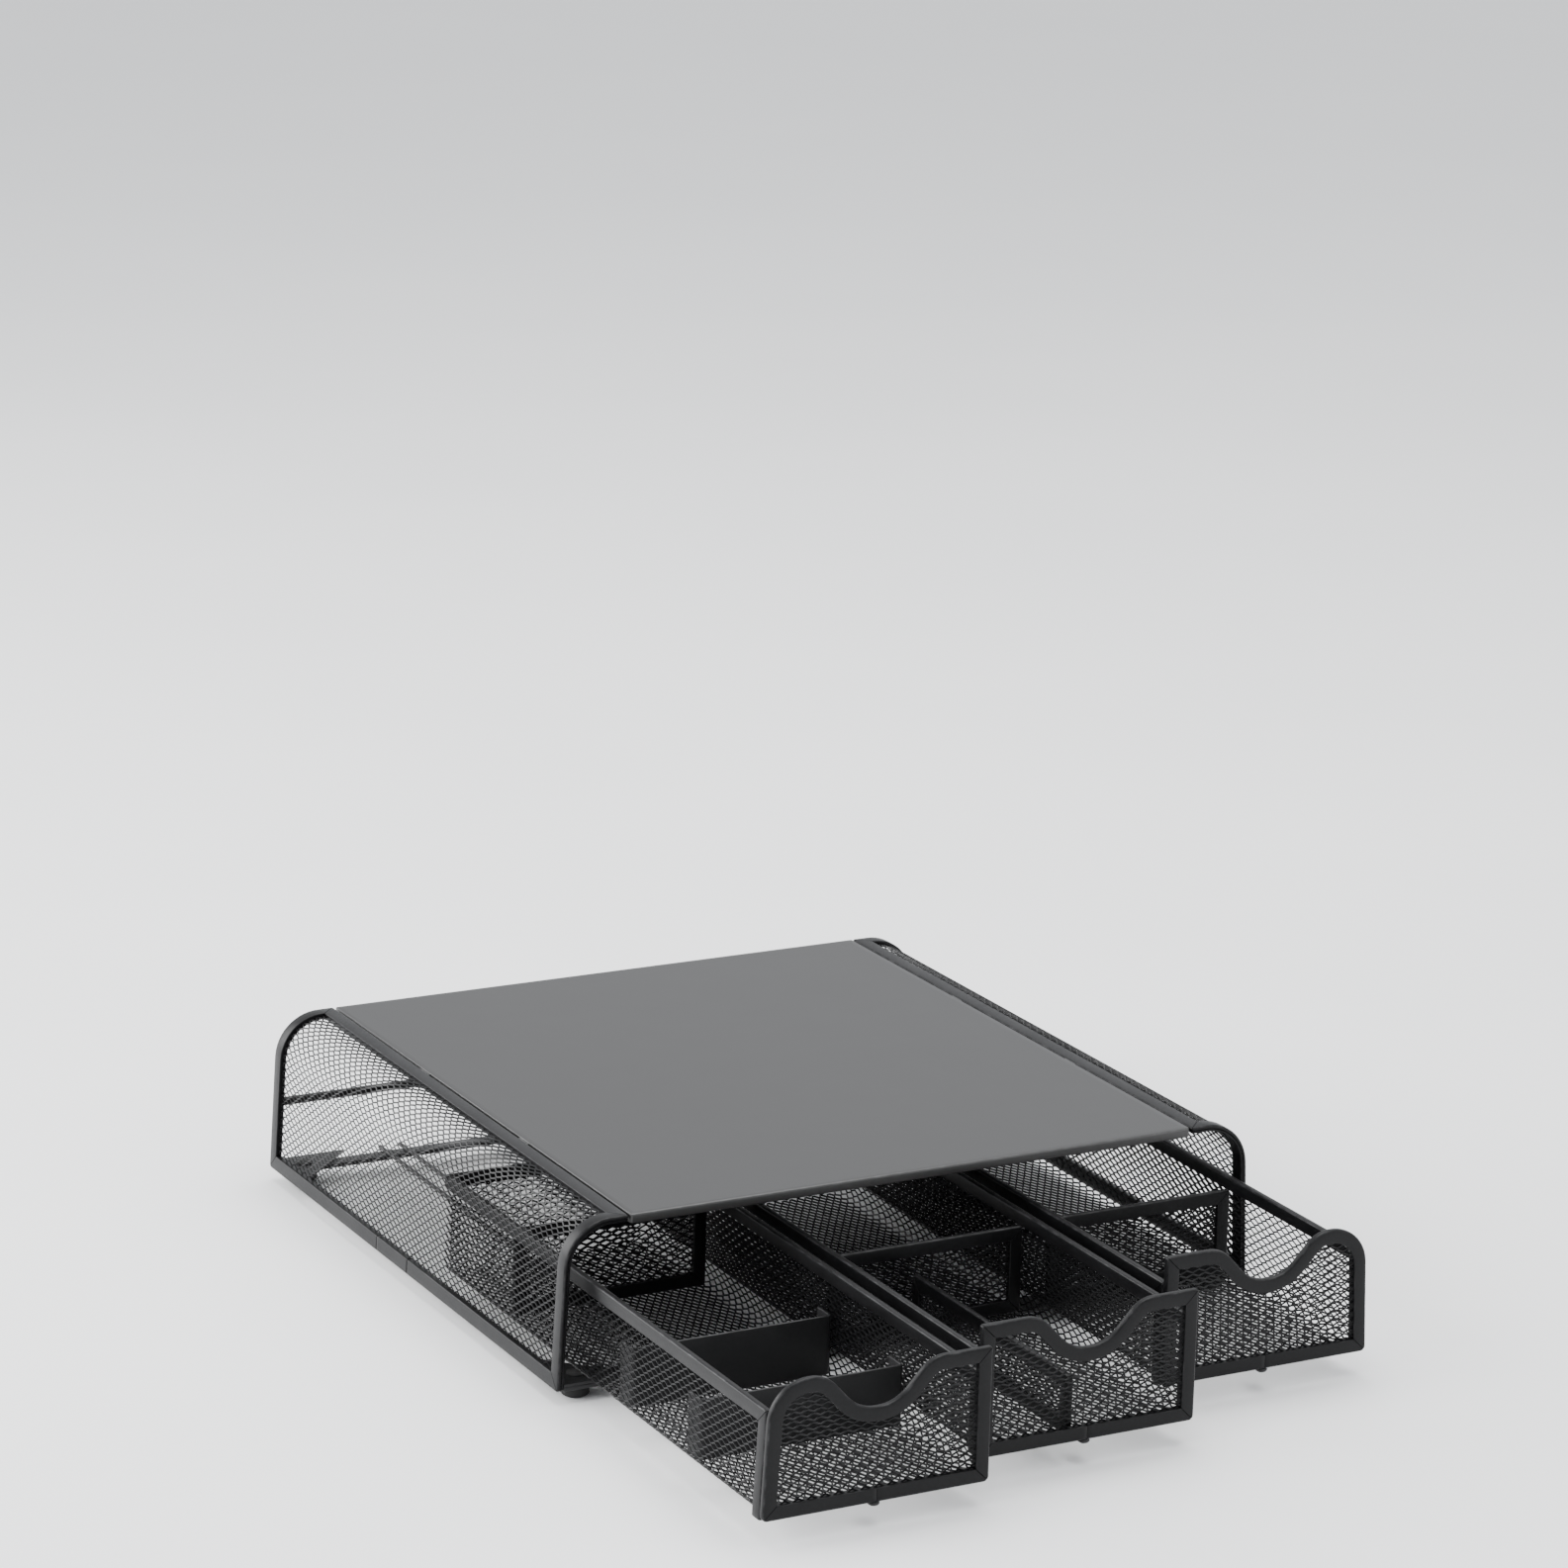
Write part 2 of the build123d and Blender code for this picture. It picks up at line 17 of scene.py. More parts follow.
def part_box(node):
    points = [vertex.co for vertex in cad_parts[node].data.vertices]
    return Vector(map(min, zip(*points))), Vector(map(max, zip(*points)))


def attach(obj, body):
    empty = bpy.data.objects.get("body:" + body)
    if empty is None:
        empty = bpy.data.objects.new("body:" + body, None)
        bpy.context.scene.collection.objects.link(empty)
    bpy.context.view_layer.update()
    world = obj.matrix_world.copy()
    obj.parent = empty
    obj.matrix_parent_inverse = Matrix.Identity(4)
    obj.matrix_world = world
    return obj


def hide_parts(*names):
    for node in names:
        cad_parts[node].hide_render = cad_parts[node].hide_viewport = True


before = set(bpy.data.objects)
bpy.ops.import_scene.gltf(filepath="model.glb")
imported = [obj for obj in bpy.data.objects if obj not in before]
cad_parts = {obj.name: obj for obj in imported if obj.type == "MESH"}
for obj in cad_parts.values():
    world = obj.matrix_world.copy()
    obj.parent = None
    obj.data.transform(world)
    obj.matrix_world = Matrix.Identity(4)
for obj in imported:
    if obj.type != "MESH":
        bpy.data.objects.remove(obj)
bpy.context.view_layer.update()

log = logging.getLogger("riser")
Array = np.ndarray
MM = 0.001

ACROSS = Vector((1, 0, 0))
BACK = Vector((0, 1, 0))
UP = Vector((0, 0, 1))
ARC_STEP = math.radians(6)     # longest turn between two points of an arc
SQUARE = 0.001 * MM            # radius of a corner that is left square


class Side(Enum):
    """The two sides of the housing or of a drawer: the sign of the way outwards."""

    LEFT = -1
    RIGHT = 1


class Slot(Enum):
    """Finish slots that the design names."""

    MESH = "mesh"
    STRIP = "edge_strip"
    PLATE = "top_plate"
    SHEET = "plain_divider"
    BASE = "base_metal"
    RUBBER = "rubber"
    GLIDE = "glide"


# ------------------------------------------------------------------------------ skins


@dataclass
class Shell:
    """Closed skins as plain arrays, before they become a mesh.

    Attributes:
        points: One row per vertex.
        quads: Rows of four vertex numbers.
        caps: Faces with more corners, as arrays with one face per row.
        wear_and_highlight: How exposed each vertex is to rubbing, from 0 on a flat to 1 on an edge; it marks
            edges as worn and as carrying a painted highlight.
    """

    points: Array
    quads: Array
    caps: list[Array]
    wear_and_highlight: Array

    @staticmethod
    def joined(shells: "list[Shell]") -> "Shell":
        """Several skins in one, each one's vertex numbers moved up by the vertices before it.

        Args:
            shells: The skins to put together.

        Returns:
            One skin that holds them all.
        """
        starts = np.cumsum([0] + [len(shell.points) for shell in shells[:-1]])
        return Shell(
            np.concatenate([shell.points for shell in shells]),
            np.concatenate([shell.quads + start for shell, start in zip(shells, starts)]),
            [cap + start for shell, start in zip(shells, starts) for cap in shell.caps],
            np.concatenate([shell.wear_and_highlight for shell in shells]),
        )

    def welded(self, grid: float = 1e-7) -> "Shell":
        """Merges points that coincide; a quad that loses a corner becomes a triangle.

        Args:
            grid: Points that round to the same step of this length are one point.

        Returns:
            The skin without its empty faces.
        """
        steps = np.round(self.points / grid).astype(np.int64)
        _, first, numbers = np.unique(steps, axis=0, return_index=True, return_inverse=True)
        quads = numbers.ravel()[self.quads]
        distinct = quads != np.roll(quads, -1, 1)
        corners = distinct.sum(1)
        threes = corners == 3
        triangles = quads[threes][distinct[threes]].reshape(-1, 3)
        caps = [numbers.ravel()[cap] for cap in self.caps] + [triangles]
        return Shell(self.points[first], quads[corners == 4], caps, self.wear_and_highlight[first])

    def volume(self) -> float:
        """Signed volume: the sum over fanned triangles of a . (b x c) / 6.

        Returns:
            Cubic metres, below zero if the faces point inwards.
        """
        total = 0.0
        for faces in [self.quads, *self.caps]:
            corners = self.points[faces]
            first = corners[:, :1]
            fans = np.cross(corners[:, 1:-1], corners[:, 2:])
            total += float((first * fans).sum()) / 6
        return total

    def piece(self, name: str, smooth_angle: float = math.radians(50)) -> bpy.types.Object:
        """Puts the arrays into a mesh whose faces point outwards.

        Args:
            name: The piece's name.
            smooth_angle: Edges that turn more than this stay crisp.

        Returns:
            The new object, linked into the scene at the origin.
        """
        faces = [self.quads, *self.caps]
        if self.volume() < 0:
            faces = [rows[:, ::-1] for rows in faces]
        sizes = np.concatenate([np.full(len(rows), rows.shape[1]) for rows in faces])
        loops = np.concatenate([rows.ravel() for rows in faces])
        mesh = bpy.data.meshes.new(name)
        mesh.vertices.add(len(self.points))
        mesh.vertices.foreach_set("co", self.points.astype(np.float32).ravel())
        mesh.loops.add(len(loops))
        mesh.loops.foreach_set("vertex_index", loops.astype(np.int32))
        mesh.polygons.add(len(sizes))
        starts = np.concatenate([[0], np.cumsum(sizes)[:-1]])
        mesh.polygons.foreach_set("loop_start", starts.astype(np.int32))
        mesh.update(calc_edges=True)
        # Per-vertex mask for worn edges and their painted highlight.
        attribute = mesh.attributes.new("wear_and_highlight", "FLOAT", "POINT")
        attribute.data.foreach_set("value", self.wear_and_highlight.astype(np.float32))
        mesh.shade_smooth()
        mesh.set_sharp_from_angle(angle=smooth_angle)
        piece = bpy.data.objects.new(name, mesh)
        bpy.context.scene.collection.objects.link(piece)
        return piece


def loft(rings: Array, wear_and_highlight: Array) -> Shell:
    """Skin over a row of rings, capped at both ends.

    Vertex j of ring i is joined to vertex j + 1 and to vertex j of ring i + 1.

    Args:
        rings: Points, ring by ring: (rings, points in a ring, 3).
        wear_and_highlight: How worn each ring point is and how much painted highlight it carries, one row
            for all rings or one per ring.

    Returns:
        The closed skin.
    """
    count, sides = rings.shape[:2]
    numbers = np.arange(count * sides).reshape(count, sides)
    near, far = numbers[:-1], numbers[1:]
    quads = np.stack([near, np.roll(near, -1, 1), np.roll(far, -1, 1), far], -1)
    caps = [numbers[:1, ::-1], numbers[-1:]]
    spread = np.broadcast_to(wear_and_highlight, (count, sides))
    return Shell(rings.reshape(-1, 3), quads.reshape(-1, 4), caps, spread.ravel())


def stacked(outlines: Array, heights: Array) -> Array:
    """Rings for a loft: each outline in x and y, lifted to its own height.

    Args:
        outlines: Outlines as (rings, points, 2).
        heights: One height for each ring.

    Returns:
        Points as (rings, points, 3).
    """
    lifted = np.broadcast_to(heights[:, None, None], (*outlines.shape[:2], 1))
    return np.concatenate([outlines, lifted], -1)


def rounded_rectangle(half_x: Array, half_y: Array, radius: Array, steps: int = 6) -> Array:
    """Rectangle outlines with round corners: each corner's centre plus radius times a quarter turn.

    Args:
        half_x: Half the width of each outline.
        half_y: Half the depth of each outline.
        radius: Corner radius of each outline.
        steps: Arc pieces in a corner.

    Returns:
        Points as (outlines, 4 * (steps + 1), 2), anticlockwise.
    """
    radius = np.maximum(radius, SQUARE)[:, None, None]
    quarter = np.linspace(0, math.pi / 2, steps + 1)
    turns = np.arange(4)[:, None] * math.pi / 2 + quarter
    signs = np.array([(1, 1), (-1, 1), (-1, -1), (1, -1)])
    x = signs[:, :1] * (np.asarray(half_x)[:, None, None] - radius) + radius * np.cos(turns)
    y = signs[:, 1:] * (np.asarray(half_y)[:, None, None] - radius) + radius * np.sin(turns)
    return np.stack([x, y], -1).reshape(len(half_x), -1, 2)


def slab(low: Vector, high: Vector, corner: float, edge: float, steps: int = 6) -> Shell:
    """A flat block with round corners and rounded top and bottom edges.

    Rings of the outline climb the side; near both faces they move in along a quarter circle.

    Args:
        low: Lowest corner.
        high: Highest corner.
        corner: Radius of the upright corners.
        edge: Radius of the top and bottom edges.
        steps: Arc pieces in each quarter circle.

    Returns:
        The closed skin.
    """
    half_x, half_y = (high.x - low.x) / 2, (high.y - low.y) / 2
    turn = np.linspace(0, math.pi / 2, steps + 1)
    inset = edge * (1 - np.sin(turn))
    rise = edge * (1 - np.cos(turn))
    insets = np.concatenate([inset, inset[::-1]])
    heights = np.concatenate([low.z + rise, high.z - rise[::-1]])
    outline = rounded_rectangle(half_x - insets, half_y - insets, corner - insets, steps)
    middle = np.array([(low.x + high.x) / 2, (low.y + high.y) / 2])
    # Rounded edges count as worn and carry a painted highlight, most half way round.
    bend = np.sin(2 * turn)
    wear_and_highlight = np.concatenate([bend, bend[::-1]])[:, None]
    return loft(stacked(outline + middle, heights), wear_and_highlight)


def turned(profile: Array, centre: tuple[float, float], sides: int = 40) -> Shell:
    """A turned shape: each profile point's radius carried round an upright axis.

    Args:
        profile: Rows of radius and height, from the bottom to the top.
        centre: Place of the axis in x and y.
        sides: Points in a ring.

    Returns:
        The closed skin.
    """
    angle = np.linspace(0, 2 * math.pi, sides, endpoint=False)
    radius, height = profile[:, 0], profile[:, 1]
    x = centre[0] + radius[:, None] * np.cos(angle)
    y = centre[1] + radius[:, None] * np.sin(angle)
    z = np.broadcast_to(height[:, None], x.shape)
    return loft(np.stack([x, y, z], -1), np.zeros(sides))


def rod(start: Vector, end: Vector, radius: float, sides: int = 16) -> Shell:
    """A straight round rod with blunt, rounded ends.

    Circles stand along the line. Near both ends the radius is r * sin(turn) at a depth of
    bluntness * r * (1 - sin(turn)), as turn goes from a few degrees to a quarter turn.

    Args:
        start: Middle of one end.
        end: Middle of the other end.
        radius: Radius of the rod.
        sides: Points in a ring.

    Returns:
        The closed skin.
    """
    heading = (end - start).normalized()
    side = heading.orthogonal().normalized()
    up = heading.cross(side)
    bluntness = 0.6
    turn = np.linspace(math.radians(10), math.pi / 2, 5)
    depth = bluntness * radius * (1 - np.sin(turn))
    places = np.concatenate([depth, (end - start).length - depth[::-1]])
    radii = radius * np.concatenate([np.sin(turn), np.sin(turn)[::-1]])
    angle = np.linspace(0, 2 * math.pi, sides, endpoint=False)
    circle = np.cos(angle)[:, None] * np.array(side) + np.sin(angle)[:, None] * np.array(up)
    rings = np.array(start) + places[:, None, None] * np.array(heading) + radii[:, None, None] * circle
    return loft(rings, np.zeros(sides))


# ------------------------------------------------------------------------------ bent sheets


def rounded_route(corners: list[tuple[float, float]], radii: list[float]) -> tuple[Array, Array]:
    """A line of straight runs joined by arcs, with its left-hand normals.

    An arc of radius r that turns by t leaves the run r * tan(t / 2) before the corner; its points
    are its centre minus r times the normal, which turns evenly.

    Args:
        corners: Ends and corners of the line.
        radii: Radius at each inner corner.

    Returns:
        Points and unit normals, both (points, 2).
    """
    spots = np.array(corners, float)
    heads = np.diff(spots, axis=0)
    heads /= np.linalg.norm(heads, axis=1, keepdims=True)
    angles = np.unwrap(np.arctan2(heads[:, 1], heads[:, 0]))
    lefts = np.stack([-heads[:, 1], heads[:, 0]], -1)
    points, normals = [spots[:1]], [lefts[:1]]
    for number, radius in enumerate(radii, start=1):
        turn = angles[number] - angles[number - 1]
        steps = max(3, math.ceil(abs(turn) / ARC_STEP))
        lean = angles[number - 1] + math.pi / 2 + np.linspace(0, turn, steps + 1)
        normal = np.stack([np.cos(lean), np.sin(lean)], -1)
        offset = math.copysign(radius, turn)
        start = spots[number] - heads[number - 1] * radius * math.tan(abs(turn) / 2)
        centre = start + lefts[number - 1] * offset
        points.append(centre - offset * normal)
        normals.append(normal)
    points.append(spots[-1:])
    normals.append(lefts[-1:])
    return np.concatenate(points), np.concatenate(normals)


@dataclass
class Surface:
    """A sheet bent about one direction: straight along u, following a route along v.

    The point (u, v, n) is origin + u * along + x(v) * across + z(v) * up, then n along the
    route's left-hand normal there. That is the way outwards, but inwards in a drawer's basket.

    Attributes:
        origin: Where u is 0 and the route's own x and z are 0.
        along: Unit direction of u.
        across: Unit direction of the route's x.
        up: Unit direction of the route's z.
        route: Points and left-hand normals of the route.
        lengths: Length of the route up to each of its points.
    """

    origin: Vector
    along: Vector
    across: Vector
    up: Vector
    route: tuple[Array, Array]
    lengths: Array = field(init=False)

    def __post_init__(self) -> None:
        """Measures the route's length up to each of its points."""
        steps = np.linalg.norm(np.diff(self.route[0], axis=0), axis=1)
        self.lengths = np.concatenate([[0.0], np.cumsum(steps)])

    @property
    def height(self) -> float:
        """Length of the route."""
        return float(self.lengths[-1])

    def place(self, u: Array, v: Array, n: Array) -> Array:
        """Points of the sheet.

        Args:
            u: Distances along the straight direction.
            v: Distances along the route.
            n: Distances along the normal.

        Returns:
            Points, with x, y and z on the last axis.
        """
        u, v, n = np.broadcast_arrays(u, v, n)
        points, normals = self.route
        x, z = (np.interp(v, self.lengths, points[:, i]) for i in (0, 1))
        normal_x, normal_z = (np.interp(v, self.lengths, normals[:, i]) for i in (0, 1))
        size = np.hypot(normal_x, normal_z)
        x, z = x + n * normal_x / size, z + n * normal_z / size
        spread = u[..., None] * np.array(self.along) + x[..., None] * np.array(self.across)
        return np.array(self.origin) + spread + z[..., None] * np.array(self.up)


def flat(origin: Vector, along: Vector, outwards: Vector, height: float, lean: float = 0.0) -> Surface:
    """A flat panel that stands up, or leans: v climbs by height as it moves in by lean.

    Args:
        origin: Lower corner where u and v are 0.
        along: Direction of u.
        outwards: Direction that the panel faces.
        height: Height of the panel.
        lean: How far the panel's top stands in from its foot.

    Returns:
        The surface; its route's x runs inwards.
    """
    return Surface(origin, along, -outwards, UP, rounded_route([(0, 0), (lean, height)], []))


# ------------------------------------------------------------------------------ expanded metal


def inside(outline: Array, u: Array, v: Array) -> Array:
    """Even-odd rule: a level line from a point inside crosses the outline an odd number of times.

    Args:
        outline: Corners of a closed outline, (corners, 2).
        u: Places of the points.
        v: Heights of the points.

    Returns:
        True for each point inside.
    """
    ends = np.roll(outline, -1, 0)
    level = v[..., None]
    spans = (outline[:, 1] > level) != (ends[:, 1] > level)
    rise = ends[:, 1] - outline[:, 1]
    rise[rise == 0] = 1    # a level edge spans no level line, so any divisor will do
    crossing = outline[:, 0] + (level - outline[:, 1]) * (ends[:, 0] - outline[:, 0]) / rise
    return (spans & (u[..., None] < crossing)).sum(-1) % 2 == 1


@dataclass(frozen=True)
class ExpandedMetal:
    """Slit and stretched steel sheet: zigzag strands that meet at the ends of each diamond.

    Attributes:
        long_way: Width of a diamond.
        short_way: Height of a diamond.
        strand: Width of a strand.
        thickness: Thickness of a strand.
        tilt: How far the stretching turns a strand out of the sheet's plane.
        bite: Share of a strand's width from a diamond's tip to the strand's middle.
        wear_and_highlight: How worn by rubbing the strands are, which also sets their painted highlight.
    """

    long_way: float = 6.0 * MM
    short_way: float = 3.85 * MM
    strand: float = 0.62 * MM
    thickness: float = 0.45 * MM
    tilt: float = math.radians(20)
    bite: float = 0.42
    wear_and_highlight: float = 0.35

    def sheet(self, surface: Surface, span: tuple[float, float, float, float], depth: float,
              outline: Array | None = None) -> Shell:
        """Strands over a rectangle of a surface.

        Strand k zigzags between v = k and k + 1 half diamonds as u goes on by half diamonds, one
        strand's low points under the last one's high points. Each strand is a rectangle, tilted
        and carried along its zigzag. Neighbours overlap a little where they meet.

        Args:
            surface: The bent or flat sheet.
            span: Least u, greatest u, least v and greatest v.
            depth: How far the sheet's middle lies along the surface's normal.
            outline: Strands outside this outline in (u, v) are left out.

        Returns:
            The closed strands.
        """
        u_low, u_high, v_low, v_high = span
        stretches = max(2, round((u_high - u_low) / (self.long_way / 2)))
        strands = max(1, round((v_high - v_low) / (self.short_way / 2)))
        half_long, half_short = (u_high - u_low) / stretches, (v_high - v_low) / strands
        step = np.arange(stretches + 1)
        row = np.arange(strands)[:, None]
        slant = math.hypot(half_long, half_short) / half_long
        inset = self.bite * self.strand * slant / half_short
        swing = inset + (1 - 2 * inset) * ((step + row) % 2)
        u = np.broadcast_to(u_low + step * half_long, (strands, stretches + 1))
        v = v_low + (row + swing) * half_short
        wide = np.array([-1, 1, 1, -1]) * self.strand * slant / 2
        deep = np.array([-1, -1, 1, 1]) * self.thickness / 2
        sideways = wide * math.cos(self.tilt) - deep * math.sin(self.tilt)
        outwards = wide * math.sin(self.tilt) + deep * math.cos(self.tilt)
        rings = surface.place(u[..., None], v[..., None] + sideways, depth + outwards)

        kept = np.ones((strands, stretches), bool)
        if outline is not None:
            within = inside(outline, u, v)
            kept = within[:, :-1] & within[:, 1:]
        numbers = np.arange(rings.size // 3).reshape(strands, stretches + 1, 4)
        near, far = numbers[:, :-1], numbers[:, 1:]
        sides = np.stack([near, np.roll(near, -1, 2), np.roll(far, -1, 2), far], -1)[kept]
        padded = np.pad(kept, ((0, 0), (1, 1)))
        begins = numbers[padded[:, 1:] & ~padded[:, :-1]]
        ends = numbers[padded[:, :-1] & ~padded[:, 1:]]
        quads = np.concatenate([sides.reshape(-1, 4), begins[:, ::-1], ends])
        used, renumbered = np.unique(quads, return_inverse=True)
        points = rings.reshape(-1, 3)[used]
        return Shell(points, renumbered.reshape(quads.shape), [], np.full(len(points), self.wear_and_highlight))


# ------------------------------------------------------------------------------ folded strips


@dataclass(frozen=True)
class Corner:
    """A corner of a strip's outer edge, in a surface's u and v.

    Attributes:
        u: Place along the surface.
        v: Place up the surface.
        radius: Radius of the outer edge.
        seam: Whether two lengths of strip meet here on a mitre.
        cuts: Butt seams in the run that leaves this corner, by their distance from it.
    """

    u: float
    v: float
    radius: float
    seam: bool = False
    cuts: tuple[float, ...] = ()


@dataclass
class Stations:
    """Places along a strip's outer edge, from which its width is measured inwards.

    A point at distance a from the edge is centre + out * (radius - side * a). Past the centre of
    a mitred corner's small arc it moves on along the mitre instead: centre + middle * stretch
    times the same, now negative, length.

    Attributes:
        centre: Arc centres, or points of the edge itself on a straight run.
        out: Unit directions from the centre to the edge.
        radius: Arc radii, 0 on a straight run.
        side: 1 where the edge turns round the strip, -1 where the strip turns round the centre.
        middle: Unit directions of the mitres.
        stretch: Length of a mitre over the strip's width.
        slide: Shifts along the strip.
        pinched: Whether the section is drawn in, as the lips of a seam are.
    """

    centre: Array
    out: Array
    radius: Array
    side: Array
    middle: Array
    stretch: Array
    slide: Array
    pinched: Array

    @staticmethod
    def joined(parts: "list[Stations]") -> "Stations":
        """One row of stations made of several.

        Args:
            parts: The rows, in order.

        Returns:
            The whole row.
        """
        names = [item.name for item in fields(Stations)]
        return Stations(*(np.concatenate([getattr(part, name) for part in parts]) for name in names))

    def inwards(self, distance: Array) -> Array:
        """Points at given distances from the outer edge.

        Args:
            distance: One row for all stations, or one row per station.

        Returns:
            Points in (u, v): (stations, distances, 2).
        """
        reach = self.radius[:, None] - self.side[:, None] * distance
        past = (reach < 0)[..., None]
        way = np.where(past, self.middle[:, None] * self.stretch[:, None, None], self.out[:, None])
        return (self.centre + self.slide)[:, None] + way * reach[..., None]


@dataclass(frozen=True)
class FoldedStrip:
    """Sheet steel folded over a raw mesh edge, seen as a flat band with soft edges.

    Attributes:
        width: Width of the band.
        thickness: Thickness over both legs.
        fold_radius: Radius of the closed edge.
        lip_radius: Radius of the open edges.
        groove: Depth of the line along the closed edge, 0 for a strip without one.
        groove_place: How far down the thickness that line runs.
        groove_spread: Half the line's width over its depth.
        seam: Half the width of a seam.
        seam_depth: How far a seam's lips are drawn in.
        step: Distance between stations along a straight run.
    """

    width: float
    thickness: float
    fold_radius: float = 0.9 * MM
    lip_radius: float = 0.35 * MM
    groove: float = 0.0
    groove_place: float = 0.55
    groove_spread: float = 0.6
    seam: float = 0.22 * MM
    seam_depth: float = 0.25 * MM
    step: float = 2.5 * MM

    def section(self) -> tuple[Array, Array, Array]:
        """The band's section: four quarter circles, and a shallow vee where it has a groove.

        Returns:
            Distances from the closed edge, heights over the outer face, and how worn each point is, which
            also sets its painted highlight.
        """
        radius = np.array([self.fold_radius, self.lip_radius, self.lip_radius, self.fold_radius])[:, None]
        across = np.array([0, 1, 1, 0])[:, None]
        below = np.array([0, 0, 1, 1])[:, None]
        turn = np.array([180, 90, 0, -90])[:, None] - np.linspace(0, 90, 5)
        centre_a = across * self.width + (1 - 2 * across) * radius
        centre_n = -below * self.thickness - (1 - 2 * below) * radius
        distance = (centre_a + radius * np.cos(np.radians(turn))).ravel()
        height = (centre_n + radius * np.sin(np.radians(turn))).ravel()
        # Rounded edges count as worn and carry a painted highlight; the groove's lips a little, its floor
        # not at all.
        wear_and_highlight = np.tile([0, 0.8, 1, 0.8, 0], 4)
        if self.groove > 0:
            middle, half = -self.groove_place * self.thickness, self.groove_spread * self.groove
            distance = np.append(distance, [0, self.groove, 0])
            height = np.append(height, [middle - half, middle, middle + half])
            wear_and_highlight = np.append(wear_and_highlight, [0.2, 0, 0.2])
        return distance, height, wear_and_highlight

    def run(self, surface: Surface, stations: Stations) -> Shell:
        """The section carried along a row of stations.

        Args:
            surface: Surface that the strip lies on, its outer face at n = 0.
            stations: Places along the outer edge.

        Returns:
            The closed length of strip.
        """
        distance, height, wear_and_highlight = self.section()
        inset = self.seam_depth
        drawn_distance = inset + distance * (1 - 2 * inset / self.width)
        drawn_height = -inset + height * (1 - 2 * inset / self.thickness)
        pinched = stations.pinched[:, None]
        places = stations.inwards(np.where(pinched, drawn_distance, distance))
        heights = np.where(pinched, drawn_height, height)
        return loft(surface.place(places[..., 0], places[..., 1], heights), wear_and_highlight).welded()

    def runs(self, surface: Surface, corners: list[Corner], closed: bool = True) -> list[Shell]:
        """Lengths of strip from seam to seam round an outline, its inside on the left.

        Args:
            surface: Surface that the strips lie on.
            corners: Corners in order; the first is a seam, and so are the ends of an open line.
            closed: Whether the outline comes back to its first corner.

        Returns:
            One closed skin for each length.
        """
        return [self.run(surface, stations) for stations in self.seam_to_seam(corners, closed)]

    def seam_to_seam(self, corners: list[Corner], closed: bool = True) -> list[Stations]:
        """Rows of stations from seam to seam.

        Args:
            corners: Corners of the outer edge.
            closed: Whether the outline comes back to its first corner.

        Returns:
            One row for each length of strip.
        """
        count = len(corners)
        spots = np.array([(corner.u, corner.v) for corner in corners])
        heads = np.roll(spots, -1, 0) - spots
        lengths = np.linalg.norm(heads, axis=1)
        heads /= lengths[:, None]
        rows, row = [], []
        for i in range(count if closed else count - 1):
            j = (i + 1) % count
            leaves = closed or i > 0
            arrives = closed or j < count - 1
            if corners[i].seam and leaves:
                row.append(self._arc(corners[i], heads[i - 1], heads[i], 0.5, 1.0))
            start = self._clear(corners[i], heads[i - 1], heads[i]) if leaves else 0.0
            end = self._clear(corners[j], heads[i], heads[j]) if arrives else 0.0
            bounds, open_ends = (start, lengths[i] - end), (not leaves, not arrives)
            row.append(self._straight(spots[i], heads[i], bounds, corners[i].cuts, open_ends))
            if arrives:
                last = 0.5 if corners[j].seam else 1.0
                row.append(self._arc(corners[j], heads[i], heads[j], 0.0, last))
            if corners[j].seam or not arrives:
                rows.append(Stations.joined(row))
                row = []
        return rows

    @staticmethod
    def _turn(before: Array, after: Array) -> float:
        """Angle from one heading to the next, above zero to the left."""
        return math.atan2(before[0] * after[1] - before[1] * after[0], float(before @ after))

    def _clear(self, corner: Corner, before: Array, after: Array) -> float:
        """Distance from a corner to where its arc and its mitre are both past.

        It is tan(turn / 2) times the arc's radius, or times the strip's width if that is more.

        Args:
            corner: The corner.
            before: Heading of the run that arrives.
            after: Heading of the run that leaves.

        Returns:
            The distance.
        """
        turn = self._turn(before, after)
        radius = max(corner.radius, self.width) if turn > 0 else corner.radius
        return radius * math.tan(abs(turn) / 2)

    def _arc(self, corner: Corner, before: Array, after: Array, first: float, last: float) -> Stations:
        """Stations round a corner, or round the half of it up to its mitre or after it.

        Args:
            corner: The corner.
            before: Heading of the run that arrives.
            after: Heading of the run that leaves.
            first: Share of the turn where the row starts.
            last: Share of the turn where the row ends.

        Returns:
            The row.
        """
        turn = self._turn(before, after)
        side = math.copysign(1.0, turn)
        steps = max(3, math.ceil(abs(turn * (last - first)) / ARC_STEP))
        share = np.linspace(first, last, steps + 1)
        slide = np.zeros((len(share), 2))
        pinched = np.zeros(len(share), bool)
        if first > 0:
            share = np.concatenate([[first], share])
            slide = np.concatenate([np.zeros((1, 2)), slide + after * self.seam])
            pinched = np.append(True, pinched)
        if last < 1:
            share = np.append(share, last)
            slide = np.concatenate([slide - before * self.seam, np.zeros((1, 2))])
            pinched = np.append(pinched, True)
        heading = math.atan2(before[1], before[0])
        angles = heading - side * math.pi / 2 + np.append(share, 0.5) * turn
        ways = np.stack([np.cos(angles), np.sin(angles)], -1)
        left = np.array([-before[1], before[0]])
        start = np.array([corner.u, corner.v]) - before * corner.radius * math.tan(abs(turn) / 2)
        centre = start + left * side * corner.radius
        ones = np.ones(len(share))
        return Stations(
            centre * ones[:, None], ways[:-1], corner.radius * ones, side * ones,
            ways[-1] * ones[:, None], ones / math.cos(turn / 2), slide, pinched,
        )

